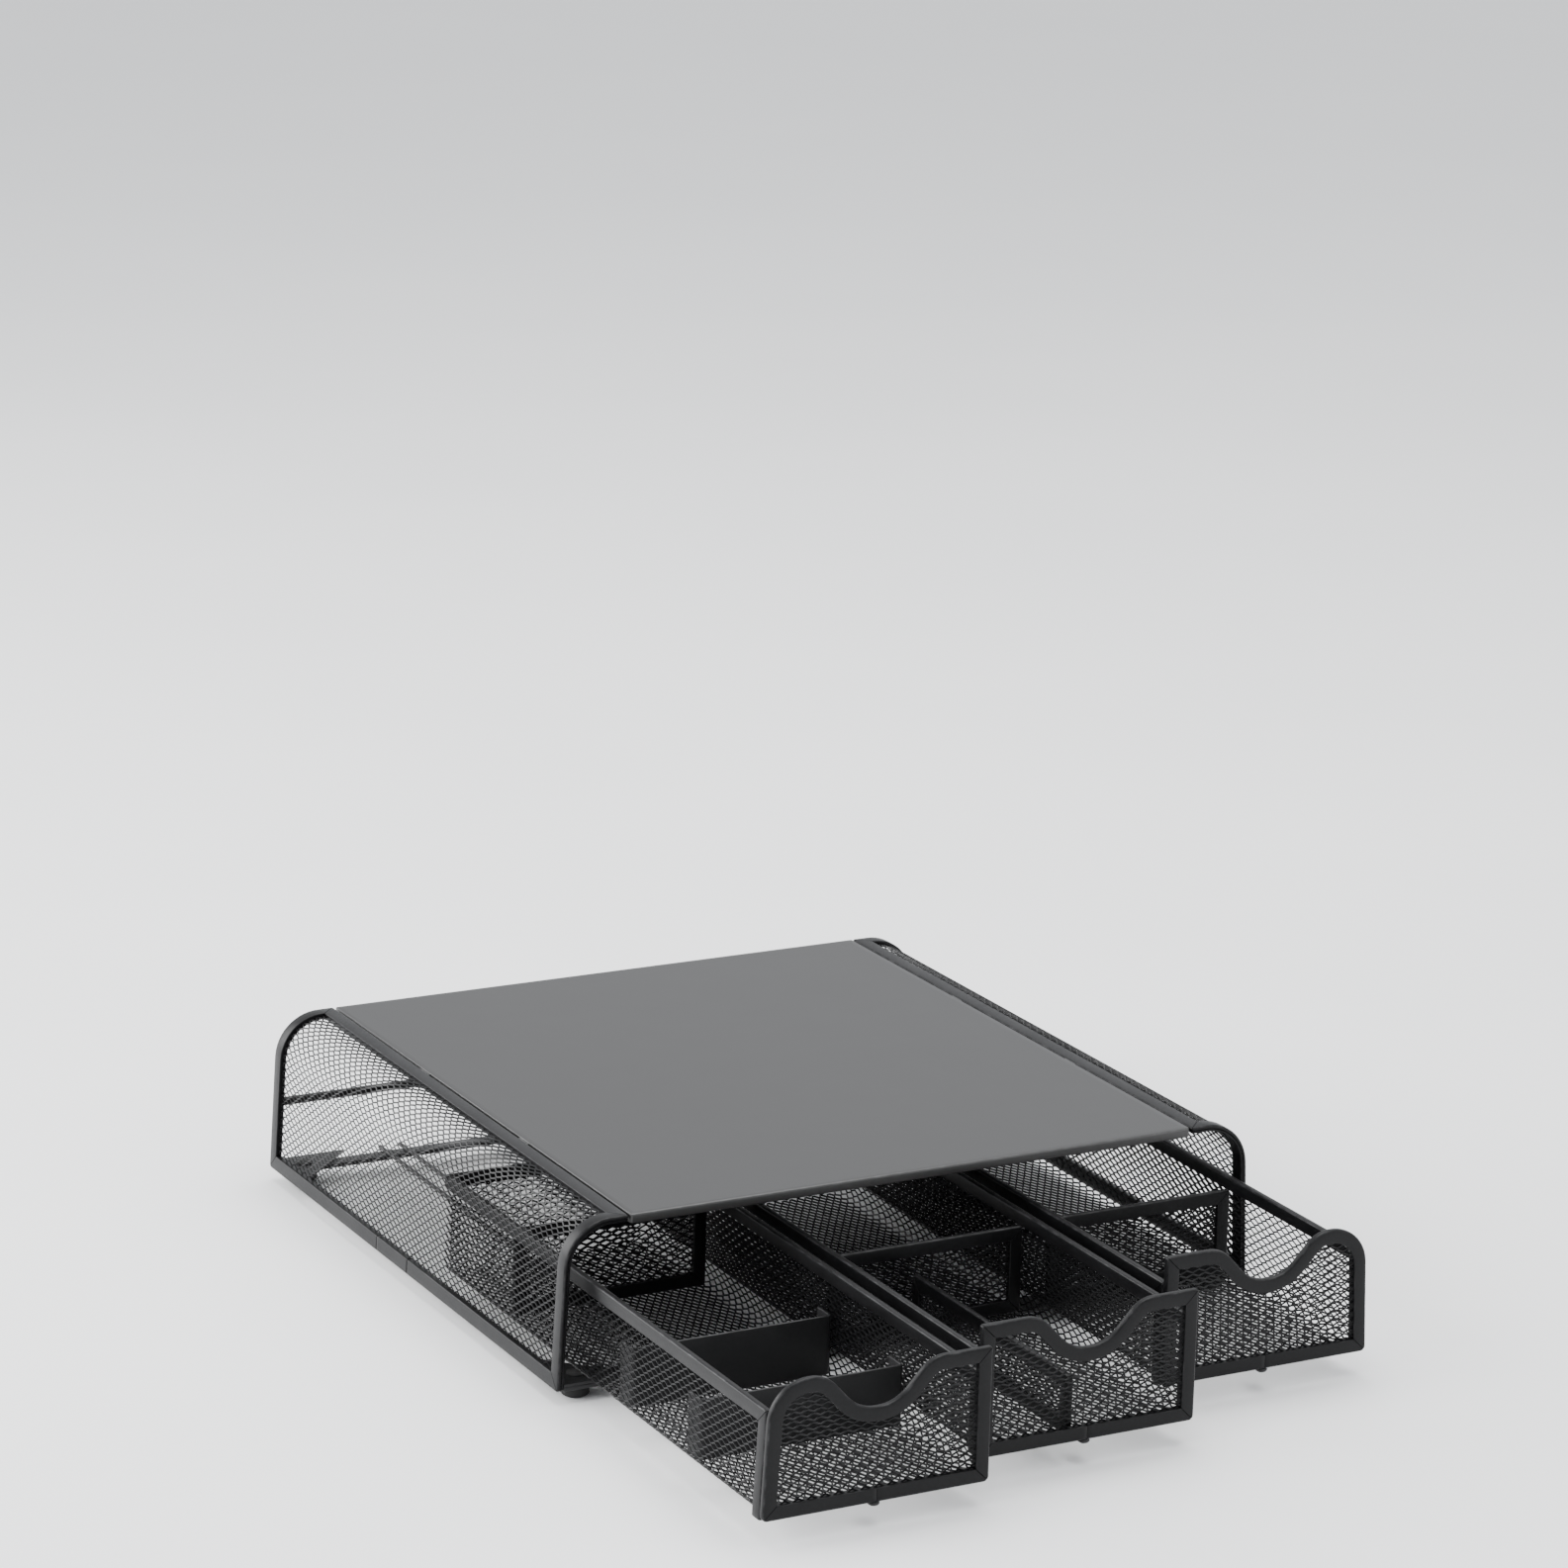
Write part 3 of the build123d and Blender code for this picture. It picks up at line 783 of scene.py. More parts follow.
    def _straight(self, spot: Array, head: Array, bounds: tuple[float, float], cuts: tuple[float, ...],
                  open_ends: tuple[bool, bool]) -> Stations:
        """Stations along a straight run, closer together at its butt seams.

        Args:
            spot: Corner that the distances are measured from.
            head: Heading of the run.
            bounds: Distances where it starts and ends.
            cuts: Distances of its butt seams.
            open_ends: Whether each end is cut square and drawn in.

        Returns:
            The row.
        """
        margin = 2 * self.seam
        start, end = bounds
        steps = max(1, math.ceil((end - start) / self.step))
        inner = np.linspace(start + margin, end - margin, steps + 1)
        for cut in cuts:
            inner = inner[np.abs(inner - cut) > margin]
        seams = [np.array([cut - self.seam, cut + self.seam]) for cut in cuts]
        ends = np.array([start] * open_ends[0] + [end] * open_ends[1])
        distance = np.concatenate([inner, *seams, np.array(cuts), ends])
        pinched = np.arange(len(distance)) >= len(inner) + 2 * len(cuts)
        order = np.argsort(distance)
        distance, pinched = distance[order], pinched[order]
        out = np.array([head[1], -head[0]])
        ones = np.ones(len(distance))
        flats = out * ones[:, None]
        edge = spot + distance[:, None] * head
        return Stations(edge, flats, 0 * ones, ones, flats, ones, 0 * flats, pinched)


def ribbon(surface: Surface, low: float, high: float, thickness: float, edge: float) -> Shell:
    """A bent sheet: a thin rounded rectangle carried along a surface's route.

    Args:
        surface: The surface, at the sheet's middle.
        low: Least u of the sheet.
        high: Greatest u of the sheet.
        thickness: Thickness of the sheet.
        edge: Radius of its edges.

    Returns:
        The closed skin.
    """
    half, middle = (high - low) / 2, (high + low) / 2
    outline = rounded_rectangle(np.array([half]), np.array([thickness / 2]), np.array([edge]), 3)[0]
    stations = surface.lengths[:, None]
    rings = surface.place(middle + outline[:, 0], stations, outline[:, 1])
    # The sheet's edges count as worn and carry a painted highlight.
    return loft(rings, np.tile([0.2, 1, 1, 0.2], 4))


# ------------------------------------------------------------------------------ finishes


class Graph:
    """A short way to write a node tree."""

    def __init__(self, tree: bpy.types.NodeTree) -> None:
        """Keeps the tree and empties it."""
        self.tree = tree
        tree.nodes.clear()

    def node(self, kind: str, inputs: dict | None = None, **settings: object) -> bpy.types.Node:
        """Adds a node and sets its inputs.

        Args:
            kind: The node's type.
            inputs: Socket name or number to a value, or to an output socket to link.
            settings: Attributes of the node.

        Returns:
            The node.
        """
        node = self.tree.nodes.new(kind)
        for name, value in settings.items():
            setattr(node, name, value)
        for name, value in (inputs or {}).items():
            if isinstance(value, bpy.types.NodeSocket):
                self.tree.links.new(value, node.inputs[name])
            else:
                node.inputs[name].default_value = value
        return node

    def math(self, operation: str, first: object, second: object, clamp: bool = False) -> object:
        """Adds a Math node and returns its output."""
        node = self.node("ShaderNodeMath", {0: first, 1: second}, operation=operation, use_clamp=clamp)
        return node.outputs[0]

    def ramp(self, value: object, low: float, high: float, to_low: float = 0.0,
             to_high: float = 1.0) -> object:
        """Adds a smooth Map Range node.

        Args:
            value: What is mapped.
            low: Value that gives to_low.
            high: Value that gives to_high.
            to_low: Least result.
            to_high: Greatest result.

        Returns:
            The node's output.
        """
        inputs = {"Value": value, "From Min": low, "From Max": high, "To Min": to_low, "To Max": to_high}
        node = self.node("ShaderNodeMapRange", inputs, interpolation_type="SMOOTHSTEP")
        return node.outputs["Result"]

    def noise(self, position: object, scale: object, detail: float, roughness: float = 0.5) -> object:
        """Adds a Noise Texture node.

        Args:
            position: Where the noise is read.
            scale: Swells in a metre.
            detail: Finer layers.
            roughness: Strength of the finer layers.

        Returns:
            The node's value.
        """
        inputs = {"Vector": position, "Scale": scale, "Detail": detail, "Roughness": roughness}
        return self.node("ShaderNodeTexNoise", inputs).outputs[0]

    def blend(self, factor: object, first: object, second: object) -> object:
        """Adds a colour Mix node.

        Args:
            factor: Share of the second colour.
            first: Colour where the factor is 0.
            second: Colour where the factor is 1.

        Returns:
            The node's output.
        """
        node = self.tree.nodes.new("ShaderNodeMix")
        node.data_type = "RGBA"
        colours = [socket for socket in node.inputs if socket.type == "RGBA"]
        for socket, value in zip([node.inputs["Factor"], *colours], [factor, first, second]):
            if isinstance(value, bpy.types.NodeSocket):
                self.tree.links.new(value, socket)
            else:
                socket.default_value = value
        return next(socket for socket in node.outputs if socket.type == "RGBA")


SWELLS_PER_BEAD = 0.32         # orange-peel swells for each bead of the grain
DRIFTS = 38.0                  # drifts of tone in a metre
PATCHES = 140.0                # polished patches in a metre
CLOUDS = 11.0                  # clouds of dust film in a metre
MOTES = 2400.0                 # motes of dust in a metre


class Effects:
    """Shader node groups that several finishes share. They put out masks and heights only."""

    def __init__(self) -> None:
        """Builds each group once."""
        self.grain = self._grain()
        self.rubbed = self._edge_rub_highlight()
        self.dust = self._dust()

    @staticmethod
    def _opened(name: str, dial: str, setting: float) -> tuple[Graph, object, object]:
        """Starts a node group that takes a position and one dial.

        Args:
            name: The group's name.
            dial: Name of the input that each finish sets.
            setting: The dial's own setting.

        Returns:
            The graph, the position's socket and the dial's socket.
        """
        tree = bpy.data.node_groups.new(name, "ShaderNodeTree")
        tree.interface.new_socket("Position", in_out="INPUT", socket_type="NodeSocketVector")
        socket = tree.interface.new_socket(dial, in_out="INPUT", socket_type="NodeSocketFloat")
        socket.default_value = setting
        graph = Graph(tree)
        entry = graph.node("NodeGroupInput")
        return graph, entry.outputs["Position"], entry.outputs[dial]

    @staticmethod
    def _closed(graph: Graph, outputs: dict[str, object]) -> bpy.types.NodeTree:
        """Gives a node group its outputs.

        Args:
            graph: The group's graph.
            outputs: Output name to the socket that feeds it.

        Returns:
            The node group.
        """
        for label in outputs:
            graph.tree.interface.new_socket(label, in_out="OUTPUT", socket_type="NodeSocketFloat")
        graph.node("NodeGroupOutput", outputs)
        return graph.tree

    def _grain(self) -> bpy.types.NodeTree:
        """Powder coat's skin: fine beads over a slow orange-peel swell, and a soft tone drift.

        Returns:
            The group.
        """
        graph, position, density = self._opened("powder_grain", "Bead Density", 2600.0)
        ports = {"Vector": position, "Scale": density}
        beads = graph.node("ShaderNodeTexVoronoi", ports, feature="SMOOTH_F1")
        swell = graph.noise(position, graph.math("MULTIPLY", density, SWELLS_PER_BEAD), 2.0)
        drift = graph.noise(position, DRIFTS, 5.0)
        bead_height = graph.math("MULTIPLY", beads.outputs["Distance"], -0.55)
        swell_height = graph.math("MULTIPLY", swell, 0.9)
        fine_tone = graph.math("MULTIPLY", swell, 0.45)
        slow_tone = graph.math("MULTIPLY", drift, 0.55)
        height = graph.math("ADD", bead_height, swell_height)
        return self._closed(graph, {"Height": height, "Tone": graph.math("ADD", fine_tone, slow_tone)})

    def _edge_rub_highlight(self) -> bpy.types.NodeTree:
        """Where handling has polished an edge, and where its lighter colour is a painted highlight: the wear
        attribute broken up by noise.

        Returns:
            The group.
        """
        graph, position, amount = self._opened("edge_rub_and_highlight", "Amount", 0.5)
        exposed = graph.node("ShaderNodeAttribute", attribute_name="wear_and_highlight").outputs["Fac"]
        patches = graph.ramp(graph.noise(position, PATCHES, 6.0, 0.62), 0.42, 0.68)
        mask = graph.math("MULTIPLY", graph.ramp(exposed, 0.3, 1.0), patches)
        return self._closed(graph, {"Mask": graph.math("MULTIPLY", mask, amount, clamp=True)})

    def _dust(self) -> bpy.types.NodeTree:
        """Fine dust on faces that look up: a ramp of the normal's height times a film and motes.

        Returns:
            The group.
        """
        graph, position, amount = self._opened("settled_dust", "Amount", 0.1)
        geometry = graph.node("ShaderNodeNewGeometry")
        normal = graph.node("ShaderNodeSeparateXYZ", {0: geometry.outputs["Normal"]})
        facing = graph.ramp(normal.outputs["Z"], 0.35, 1.0)
        film = graph.ramp(graph.noise(position, CLOUDS, 6.0), 0.3, 0.8, 0.1, 0.22)
        motes = graph.ramp(graph.noise(position, MOTES, 1.0), 0.66, 0.78)
        cover = graph.math("MULTIPLY", facing, graph.math("ADD", film, motes))
        return self._closed(graph, {"Mask": graph.math("MULTIPLY", cover, amount, clamp=True)})


TONE_SPAN = (0.3, 0.7)         # range of the grain's tone that a finish's drift follows
DUST_COLOUR = (0.42, 0.41, 0.39, 1)
POLISH = -0.12                 # roughness added where an edge is polished
POWDER = 0.4                   # roughness added under full dust
GRAIN_STRENGTH = 0.6


@dataclass(frozen=True)
class Finish:
    """A black coat, moulding or rubber, with its grain, worn edges that carry a painted highlight, and dust.

    Attributes:
        name: The material's name.
        slot: Slot of the design that it stands for.
        colour: Base colour.
        drift: Share by which the colour drifts up and down from place to place.
        rubbed_colour: Colour where edges are polished, lighter than the coat: partly worn coat, partly
            painted highlight.
        roughness: Middle roughness.
        spread: How far the roughness drifts from place to place.
        beads: Grain beads in a metre.
        relief: Height of the grain in metres.
        rub: Strength of the polished edges and of their painted highlight.
        dust: Strength of the dust.
        specular: Strength of the plain reflection.
    """

    name: str
    slot: Slot
    colour: tuple[float, float, float]
    drift: float = 0.35
    rubbed_colour: tuple[float, float, float] = (0.045, 0.045, 0.047)
    roughness: float = 0.42
    spread: float = 0.12
    beads: float = 2600.0
    relief: float = 0.02 * MM
    rub: float = 0.5
    dust: float = 0.05
    specular: float = 0.35

    def material(self, effects: Effects) -> bpy.types.Material:
        """Builds the material.

        Args:
            effects: The shared node groups.

        Returns:
            The material, its pattern on Object coordinates.
        """
        material = bpy.data.materials.new(self.name)
        material.use_nodes = True
        graph = Graph(material.node_tree)
        place = graph.node("ShaderNodeTexCoord").outputs["Object"]
        grain = graph.node("ShaderNodeGroup", node_tree=effects.grain)
        rubbed = graph.node("ShaderNodeGroup", node_tree=effects.rubbed)
        dust = graph.node("ShaderNodeGroup", node_tree=effects.dust)
        for group in (grain, rubbed, dust):
            graph.tree.links.new(place, group.inputs["Position"])
        grain.inputs["Bead Density"].default_value = self.beads
        rubbed.inputs["Amount"].default_value = self.rub
        dust.inputs["Amount"].default_value = self.dust

        darker, lighter = (
            (*(share * level for level in self.colour), 1) for share in (1 - self.drift, 1 + self.drift)
        )
        body = graph.blend(graph.ramp(grain.outputs["Tone"], *TONE_SPAN), darker, lighter)
        # Exposed edges turn lighter: partly worn coat, partly a painted highlight.
        worn_and_highlit = graph.blend(rubbed.outputs["Mask"], body, (*self.rubbed_colour, 1))
        colour = graph.blend(dust.outputs["Mask"], worn_and_highlit, DUST_COLOUR)

        smoothest, roughest = self.roughness - self.spread / 2, self.roughness + self.spread / 2
        gloss = graph.ramp(grain.outputs["Tone"], *TONE_SPAN, smoothest, roughest)
        polished = graph.math("MULTIPLY", rubbed.outputs["Mask"], POLISH)
        powdered = graph.math("MULTIPLY", dust.outputs["Mask"], POWDER)
        roughness = graph.math("ADD", graph.math("ADD", gloss, polished), powdered, clamp=True)

        bump = graph.node("ShaderNodeBump", {
            "Height": grain.outputs["Height"], "Strength": GRAIN_STRENGTH, "Distance": self.relief,
        })
        shader = graph.node("ShaderNodeBsdfPrincipled", {
            "Base Color": colour, "Roughness": roughness, "Normal": bump.outputs["Normal"],
            "Specular IOR Level": self.specular,
        })
        graph.node("ShaderNodeOutputMaterial", {"Surface": shader.outputs["BSDF"]})
        return material


FINISHES = (
    Finish("mesh_powder_coat", Slot.MESH, (0.0045, 0.0045, 0.005), roughness=0.36, spread=0.16, beads=1500.0,
           relief=0.03 * MM, rub=0.3, dust=0.03, specular=0.16),
    Finish("strip_powder_coat", Slot.STRIP, (0.004, 0.004, 0.0044), roughness=0.36, rub=0.5, dust=0.03,
           specular=0.15),
    Finish("plate_powder_coat", Slot.PLATE, (0.014, 0.0138, 0.0136), drift=0.05, roughness=0.36, spread=0.02,
           beads=3200.0, relief=0.014 * MM, rub=0.6, dust=0.012, specular=0.5),
    Finish("sheet_powder_coat", Slot.SHEET, (0.007, 0.007, 0.0076), roughness=0.46, rub=0.7, dust=0.04),
    Finish("base_powder_coat", Slot.BASE, (0.007, 0.007, 0.0076), roughness=0.44, rub=0.4, dust=0.08),
    Finish("foot_rubber", Slot.RUBBER, (0.011, 0.011, 0.011), rubbed_colour=(0.03, 0.03, 0.03),
           roughness=0.72, spread=0.14, beads=1900.0, relief=0.03 * MM, rub=0.2, dust=0.16),
    Finish("glide_plastic", Slot.GLIDE, (0.008, 0.008, 0.0086), rubbed_colour=(0.04, 0.04, 0.04),
           roughness=0.5, spread=0.1, beads=3000.0, relief=0.01 * MM, dust=0.03),
)


class Workshop:
    """Hands each finished piece its material and its body, and hides the design nodes that it stands for."""

    def __init__(self) -> None:
        """Mixes the finishes."""
        effects = Effects()
        self.materials = {finish.slot: finish.material(effects) for finish in FINISHES}

    def fit(self, name: str, shell: Shell, slot: Slot, body: str, *nodes: str) -> bpy.types.Object:
        """Makes a piece from its skin and puts it on its body.

        Args:
            name: The piece's name.
            shell: Its skin.
            slot: Its finish.
            body: The body it moves with.
            nodes: Design nodes that it stands for.

        Returns:
            The piece.
        """
        piece = shell.piece(name)
        piece.data.materials.append(self.materials[slot])
        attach(piece, body)
        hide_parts(*nodes)
        log.info("%s: %d faces on %s", name, len(piece.data.polygons), body)
        return piece

    def coat(self, node: str, slot: Slot) -> None:
        """Gives a design node that is shown as it is its finish.

        Args:
            node: The node's name.
            slot: Its finish.
        """
        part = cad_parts[node]
        if not part.material_slots:
            part.data.materials.append(self.materials[slot])
        for place in part.material_slots:
            place.material = self.materials[slot]
        log.info("%s: kept from the design", node)


# ------------------------------------------------------------------------------ housing


@dataclass
class HousingSide:
    """One side of the housing: expanded metal in four folded strips, rounded over at the top.

    Attributes:
        side: Which side.
        lean: How far the side stands in between its foot and the top.
        corner: Radius where it turns over into the top.
        joints: Butt seams of the base rail, from its front end.
        foot_corner: Outer radius of the two lower mitres.
        top_corner: Outer radius of the two upper mitres.
        hem: How far inside the strips' outer edge the mesh ends.
        strip: The folded strip.
        metal: The mesh.
    """

    side: Side
    lean: float = 3.6 * MM
    corner: float = 21.0 * MM
    joints: tuple[float, float] = (152.2 * MM, 185.2 * MM)
    foot_corner: float = 1.6 * MM
    top_corner: float = 0.6 * MM
    hem: float = 1.5 * MM
    strip: FoldedStrip = FoldedStrip(7.0 * MM, 3.0 * MM, groove=0.45 * MM)
    metal: ExpandedMetal = ExpandedMetal()

    def surface(self) -> Surface:
        """Outer face of the side: up from the base rail, round the corner, along the top.

        Returns:
            The surface, its u running from the front to the back.
        """
        rail_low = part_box("left_base_rail")[0]
        strip_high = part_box("left_top_strip")[1]
        top = strip_high.z - rail_low.z
        corners = [(rail_low.x, 0), (rail_low.x + self.lean, top), (strip_high.x, top)]
        origin = Vector((0, rail_low.y, rail_low.z))
        return Surface(origin, BACK, -self.side.value * ACROSS, UP, rounded_route(corners, [self.corner]))

    def slope(self) -> float:
        """How far the side stands in for each metre of height."""
        return self.lean / (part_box("left_top_strip")[1].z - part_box("left_base_rail")[0].z)

    def build(self, workshop: Workshop) -> None:
        """Makes the side's mesh and its four strips.

        Args:
            workshop: Where pieces are finished.
        """
        name = self.side.name.lower()
        surface = self.surface()
        low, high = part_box("left_base_rail")
        length, height = high.y - low.y, surface.height
        span = (self.hem, length - self.hem, self.hem, height - self.hem)
        weave = self.metal.sheet(surface, span, -self.strip.thickness / 2)
        workshop.fit(f"{name}_side_weave", weave, Slot.MESH, "housing", f"{name}_side_mesh")
        corners = [
            Corner(0, 0, self.foot_corner, True, self.joints),
            Corner(length, 0, self.foot_corner, True),
            Corner(length, height, self.top_corner, True),
            Corner(0, height, self.top_corner, True),
        ]
        runs = self.strip.runs(surface, corners)
        for part, run in zip(("base_rail", "rear_strip", "top_strip", "front_strip"), runs):
            workshop.fit(f"{name}_{part}_folded", run, Slot.STRIP, "housing", f"{name}_{part}")


@dataclass
class TopPlate:
    """The shallow pan that carries the monitor, with small tabs that bridge the slits beside it.

    Attributes:
        sheet: Thickness of the steel.
        fold: Radius of the edge that is turned down in front and behind.
        side_fold: How far the edge is rounded in along the sides.
        lip: Radius of the raw edge under the lip.
        corner: Radius of the pan's corners.
        face: Width of the flat ring inside the fold.
        groove: Width of the slit between the pan and the strip beside it.
        tab: Length of a tab.
        tab_drop: How far the tabs lie under the plate's face.
        tab_corner: Radius of a tab's corners.
        tab_edge: Radius of a tab's upper and lower edges.
        tabs: Tabs on each side.
    """

    sheet: float = 1.6 * MM
    fold: float = 1.1 * MM
    side_fold: float = 0.3 * MM
    lip: float = 0.35 * MM
    corner: float = 1.5 * MM
    face: float = 12.0 * MM
    groove: float = 0.95 * MM
    tab: float = 9.0 * MM
    tab_drop: float = 0.3 * MM
    tab_corner: float = 0.3 * MM
    tab_edge: float = 0.2 * MM
    tabs: int = 2

    def pan(self, low: Vector, high: Vector) -> Shell:
        """The pan: rounded rectangles from the middle of the face, over the fold, under the lip.

        Over the fold a ring lies fold * (1 - sin(turn)) inside the edge and fold * (1 - cos(turn))
        below the face; the raw edge under it turns along two quarter circles of the lip's radius.

        Args:
            low: The plate's lowest corner.
            high: The plate's highest corner.

        Returns:
            The closed skin.
        """
        turn = np.linspace(0, math.pi / 2, 7)
        small = np.linspace(0, math.pi / 2, 4)
        border = self.fold + 2 * MM
        over, under = 1 - np.sin(turn), 1 - np.cos(turn)
        out, back = self.lip * (1 - np.cos(small)), self.lip * (1 - np.sin(small))
        fold_rings = slice(2, 2 + len(turn))
        inset = np.concatenate([
            [self.face, border], self.fold * over, out, self.sheet - back, [self.sheet, self.face],
        ])
        inner = high.z - self.sheet
        height = np.concatenate([
            [high.z, high.z], high.z - self.fold * under, low.z + back, low.z + out, [inner, inner],
        ])
        side_inset = inset.copy()
        side_inset[fold_rings] *= self.side_fold / self.fold
        half, middle = (high - low) / 2, (high + low) / 2
        outline = rounded_rectangle(half.x - side_inset, half.y - inset, self.corner - inset, 5)
        # The fold counts as worn and carries a painted highlight, most half way round it.
        wear_and_highlight = np.zeros(len(inset))
        wear_and_highlight[fold_rings] = np.sin(2 * turn)
        return loft(stacked(outline + np.array([middle.x, middle.y]), height), wear_and_highlight[:, None])

    def build(self, workshop: Workshop) -> None:
        """Makes the plate.

        Args:
            workshop: Where pieces are finished.
        """
        low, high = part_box("top_plate")
        strip = -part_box("left_top_strip")[1].x
        edge = strip - self.groove
        shells = [self.pan(Vector((-edge, low.y, low.z)), Vector((edge, high.y, high.z)))]
        pitch = (high.y - low.y) / (self.tabs + 1)
        top = high.z - self.tab_drop
        for sign in (-1, 1):
            near, far = sorted((sign * (edge - self.lip), sign * strip))
            for number in range(self.tabs):
                y = (low.y + high.y) / 2 + (number - (self.tabs - 1) / 2) * pitch
                lowest = Vector((near, y - self.tab / 2, top - self.sheet))
                highest = Vector((far, y + self.tab / 2, top))
                shells.append(slab(lowest, highest, self.tab_corner, self.tab_edge, 3))
        workshop.fit("top_plate_pan", Shell.joined(shells), Slot.PLATE, "housing", "top_plate")


@dataclass
class Base:
    """What stands on the desk and carries the drawers: feet, cross bars, wires and gussets.

    Attributes:
        foot: Radius of a foot.
        dome: Radius of a foot's lower edge.
        dome_share: Height of that edge over its radius.
        neck: Radius of the stem through the gusset.
        head: Radius of the button that holds a foot in its gusset.
        button: Height of that button.
        soft: Radius of the pad's and the button's upper edges.
        foot_inset: A foot's centre from the base rail's outside, and from its end.
        bar_corner: Radius of the flat bars' corners.
        bar_edge: Radius of the flat bars' upper and lower edges.
    """

    foot: float = 6.0 * MM
    dome: float = 2.2 * MM
    dome_share: float = 0.8
    neck: float = 2.4 * MM
    head: float = 4.0 * MM
    button: float = 0.7 * MM
    soft: float = 0.4 * MM
    foot_inset: tuple[float, float] = (13.0 * MM, 10.0 * MM)
    bar_corner: float = 0.6 * MM
    bar_edge: float = 0.5 * MM

    def feet(self) -> Shell:
        """Four turned feet: a domed pad, a neck through the steel and a low button on top.

        Every rounded edge of the profile is a quarter turn: radius times sine and cosine.

        Returns:
            The closed skins.
        """
        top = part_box("rubber_feet")[1].z
        rail_low, rail_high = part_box("left_base_rail")
        pad, seat = rail_low.z, top - self.button
        neck_top = seat - 0.05 * MM
        soft = self.soft
        turn = np.linspace(0, math.pi / 2, 7)
        brim, crown = turn[::3], turn[::2]
        radius = np.concatenate([
            self.foot - self.dome * (1 - np.sin(turn)), self.foot - soft * (1 - np.cos(turn)),
            [self.neck, self.neck],
            self.head - soft / 2 * (1 - np.sin(brim)), self.head - soft * (1 - np.cos(crown)),
        ])
        height = np.concatenate([
            self.dome_share * self.dome * (1 - np.cos(turn)), pad - soft * (1 - np.sin(turn)),
            [pad, neck_top],
            np.full(len(brim), seat), top - soft * (1 - np.sin(crown)),
        ])
        x = -rail_low.x - self.foot_inset[0]
        ys = (rail_low.y + self.foot_inset[1], rail_high.y - self.foot_inset[1])
        profile = np.stack([radius, height], -1)
        return Shell.joined([turned(profile, (sign * x, y)) for sign in (-1, 1) for y in ys])

    def build(self, workshop: Workshop) -> None:
        """Makes the feet, bars and wires, and coats the gussets.

        Args:
            workshop: Where pieces are finished.
        """
        workshop.fit("turned_feet", self.feet(), Slot.RUBBER, "housing", "rubber_feet")
        for name in ("front_base_bar", "rear_base_bar"):
            low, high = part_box(name)
            bar = slab(low, high, self.bar_corner, self.bar_edge, 4)
            workshop.fit(f"{name}_flat", bar, Slot.BASE, "housing", name)
        low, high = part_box("rear_stop_bar")
        middle, radius = (low + high) / 2, (high.z - low.z) / 2
        start, end = (Vector((x, middle.y, middle.z)) for x in (low.x, high.x))
        workshop.fit("rear_stop_rod", rod(start, end, radius, 24), Slot.BASE, "housing", "rear_stop_bar")
        for drawer in ("left", "middle", "right"):
            node = f"{drawer}_drawer_guide_wires"
            low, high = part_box(node)
            radius = (high.z - low.z) / 2
            z = low.z + radius
            wires = [
                rod(Vector((x, low.y, z)), Vector((x, high.y, z)), radius)
                for x in (low.x + radius, high.x - radius)
            ]
            workshop.fit(f"{drawer}_runner_wires", Shell.joined(wires), Slot.BASE, "housing", node)
        workshop.coat("corner_gussets", Slot.BASE)


# ------------------------------------------------------------------------------ drawers


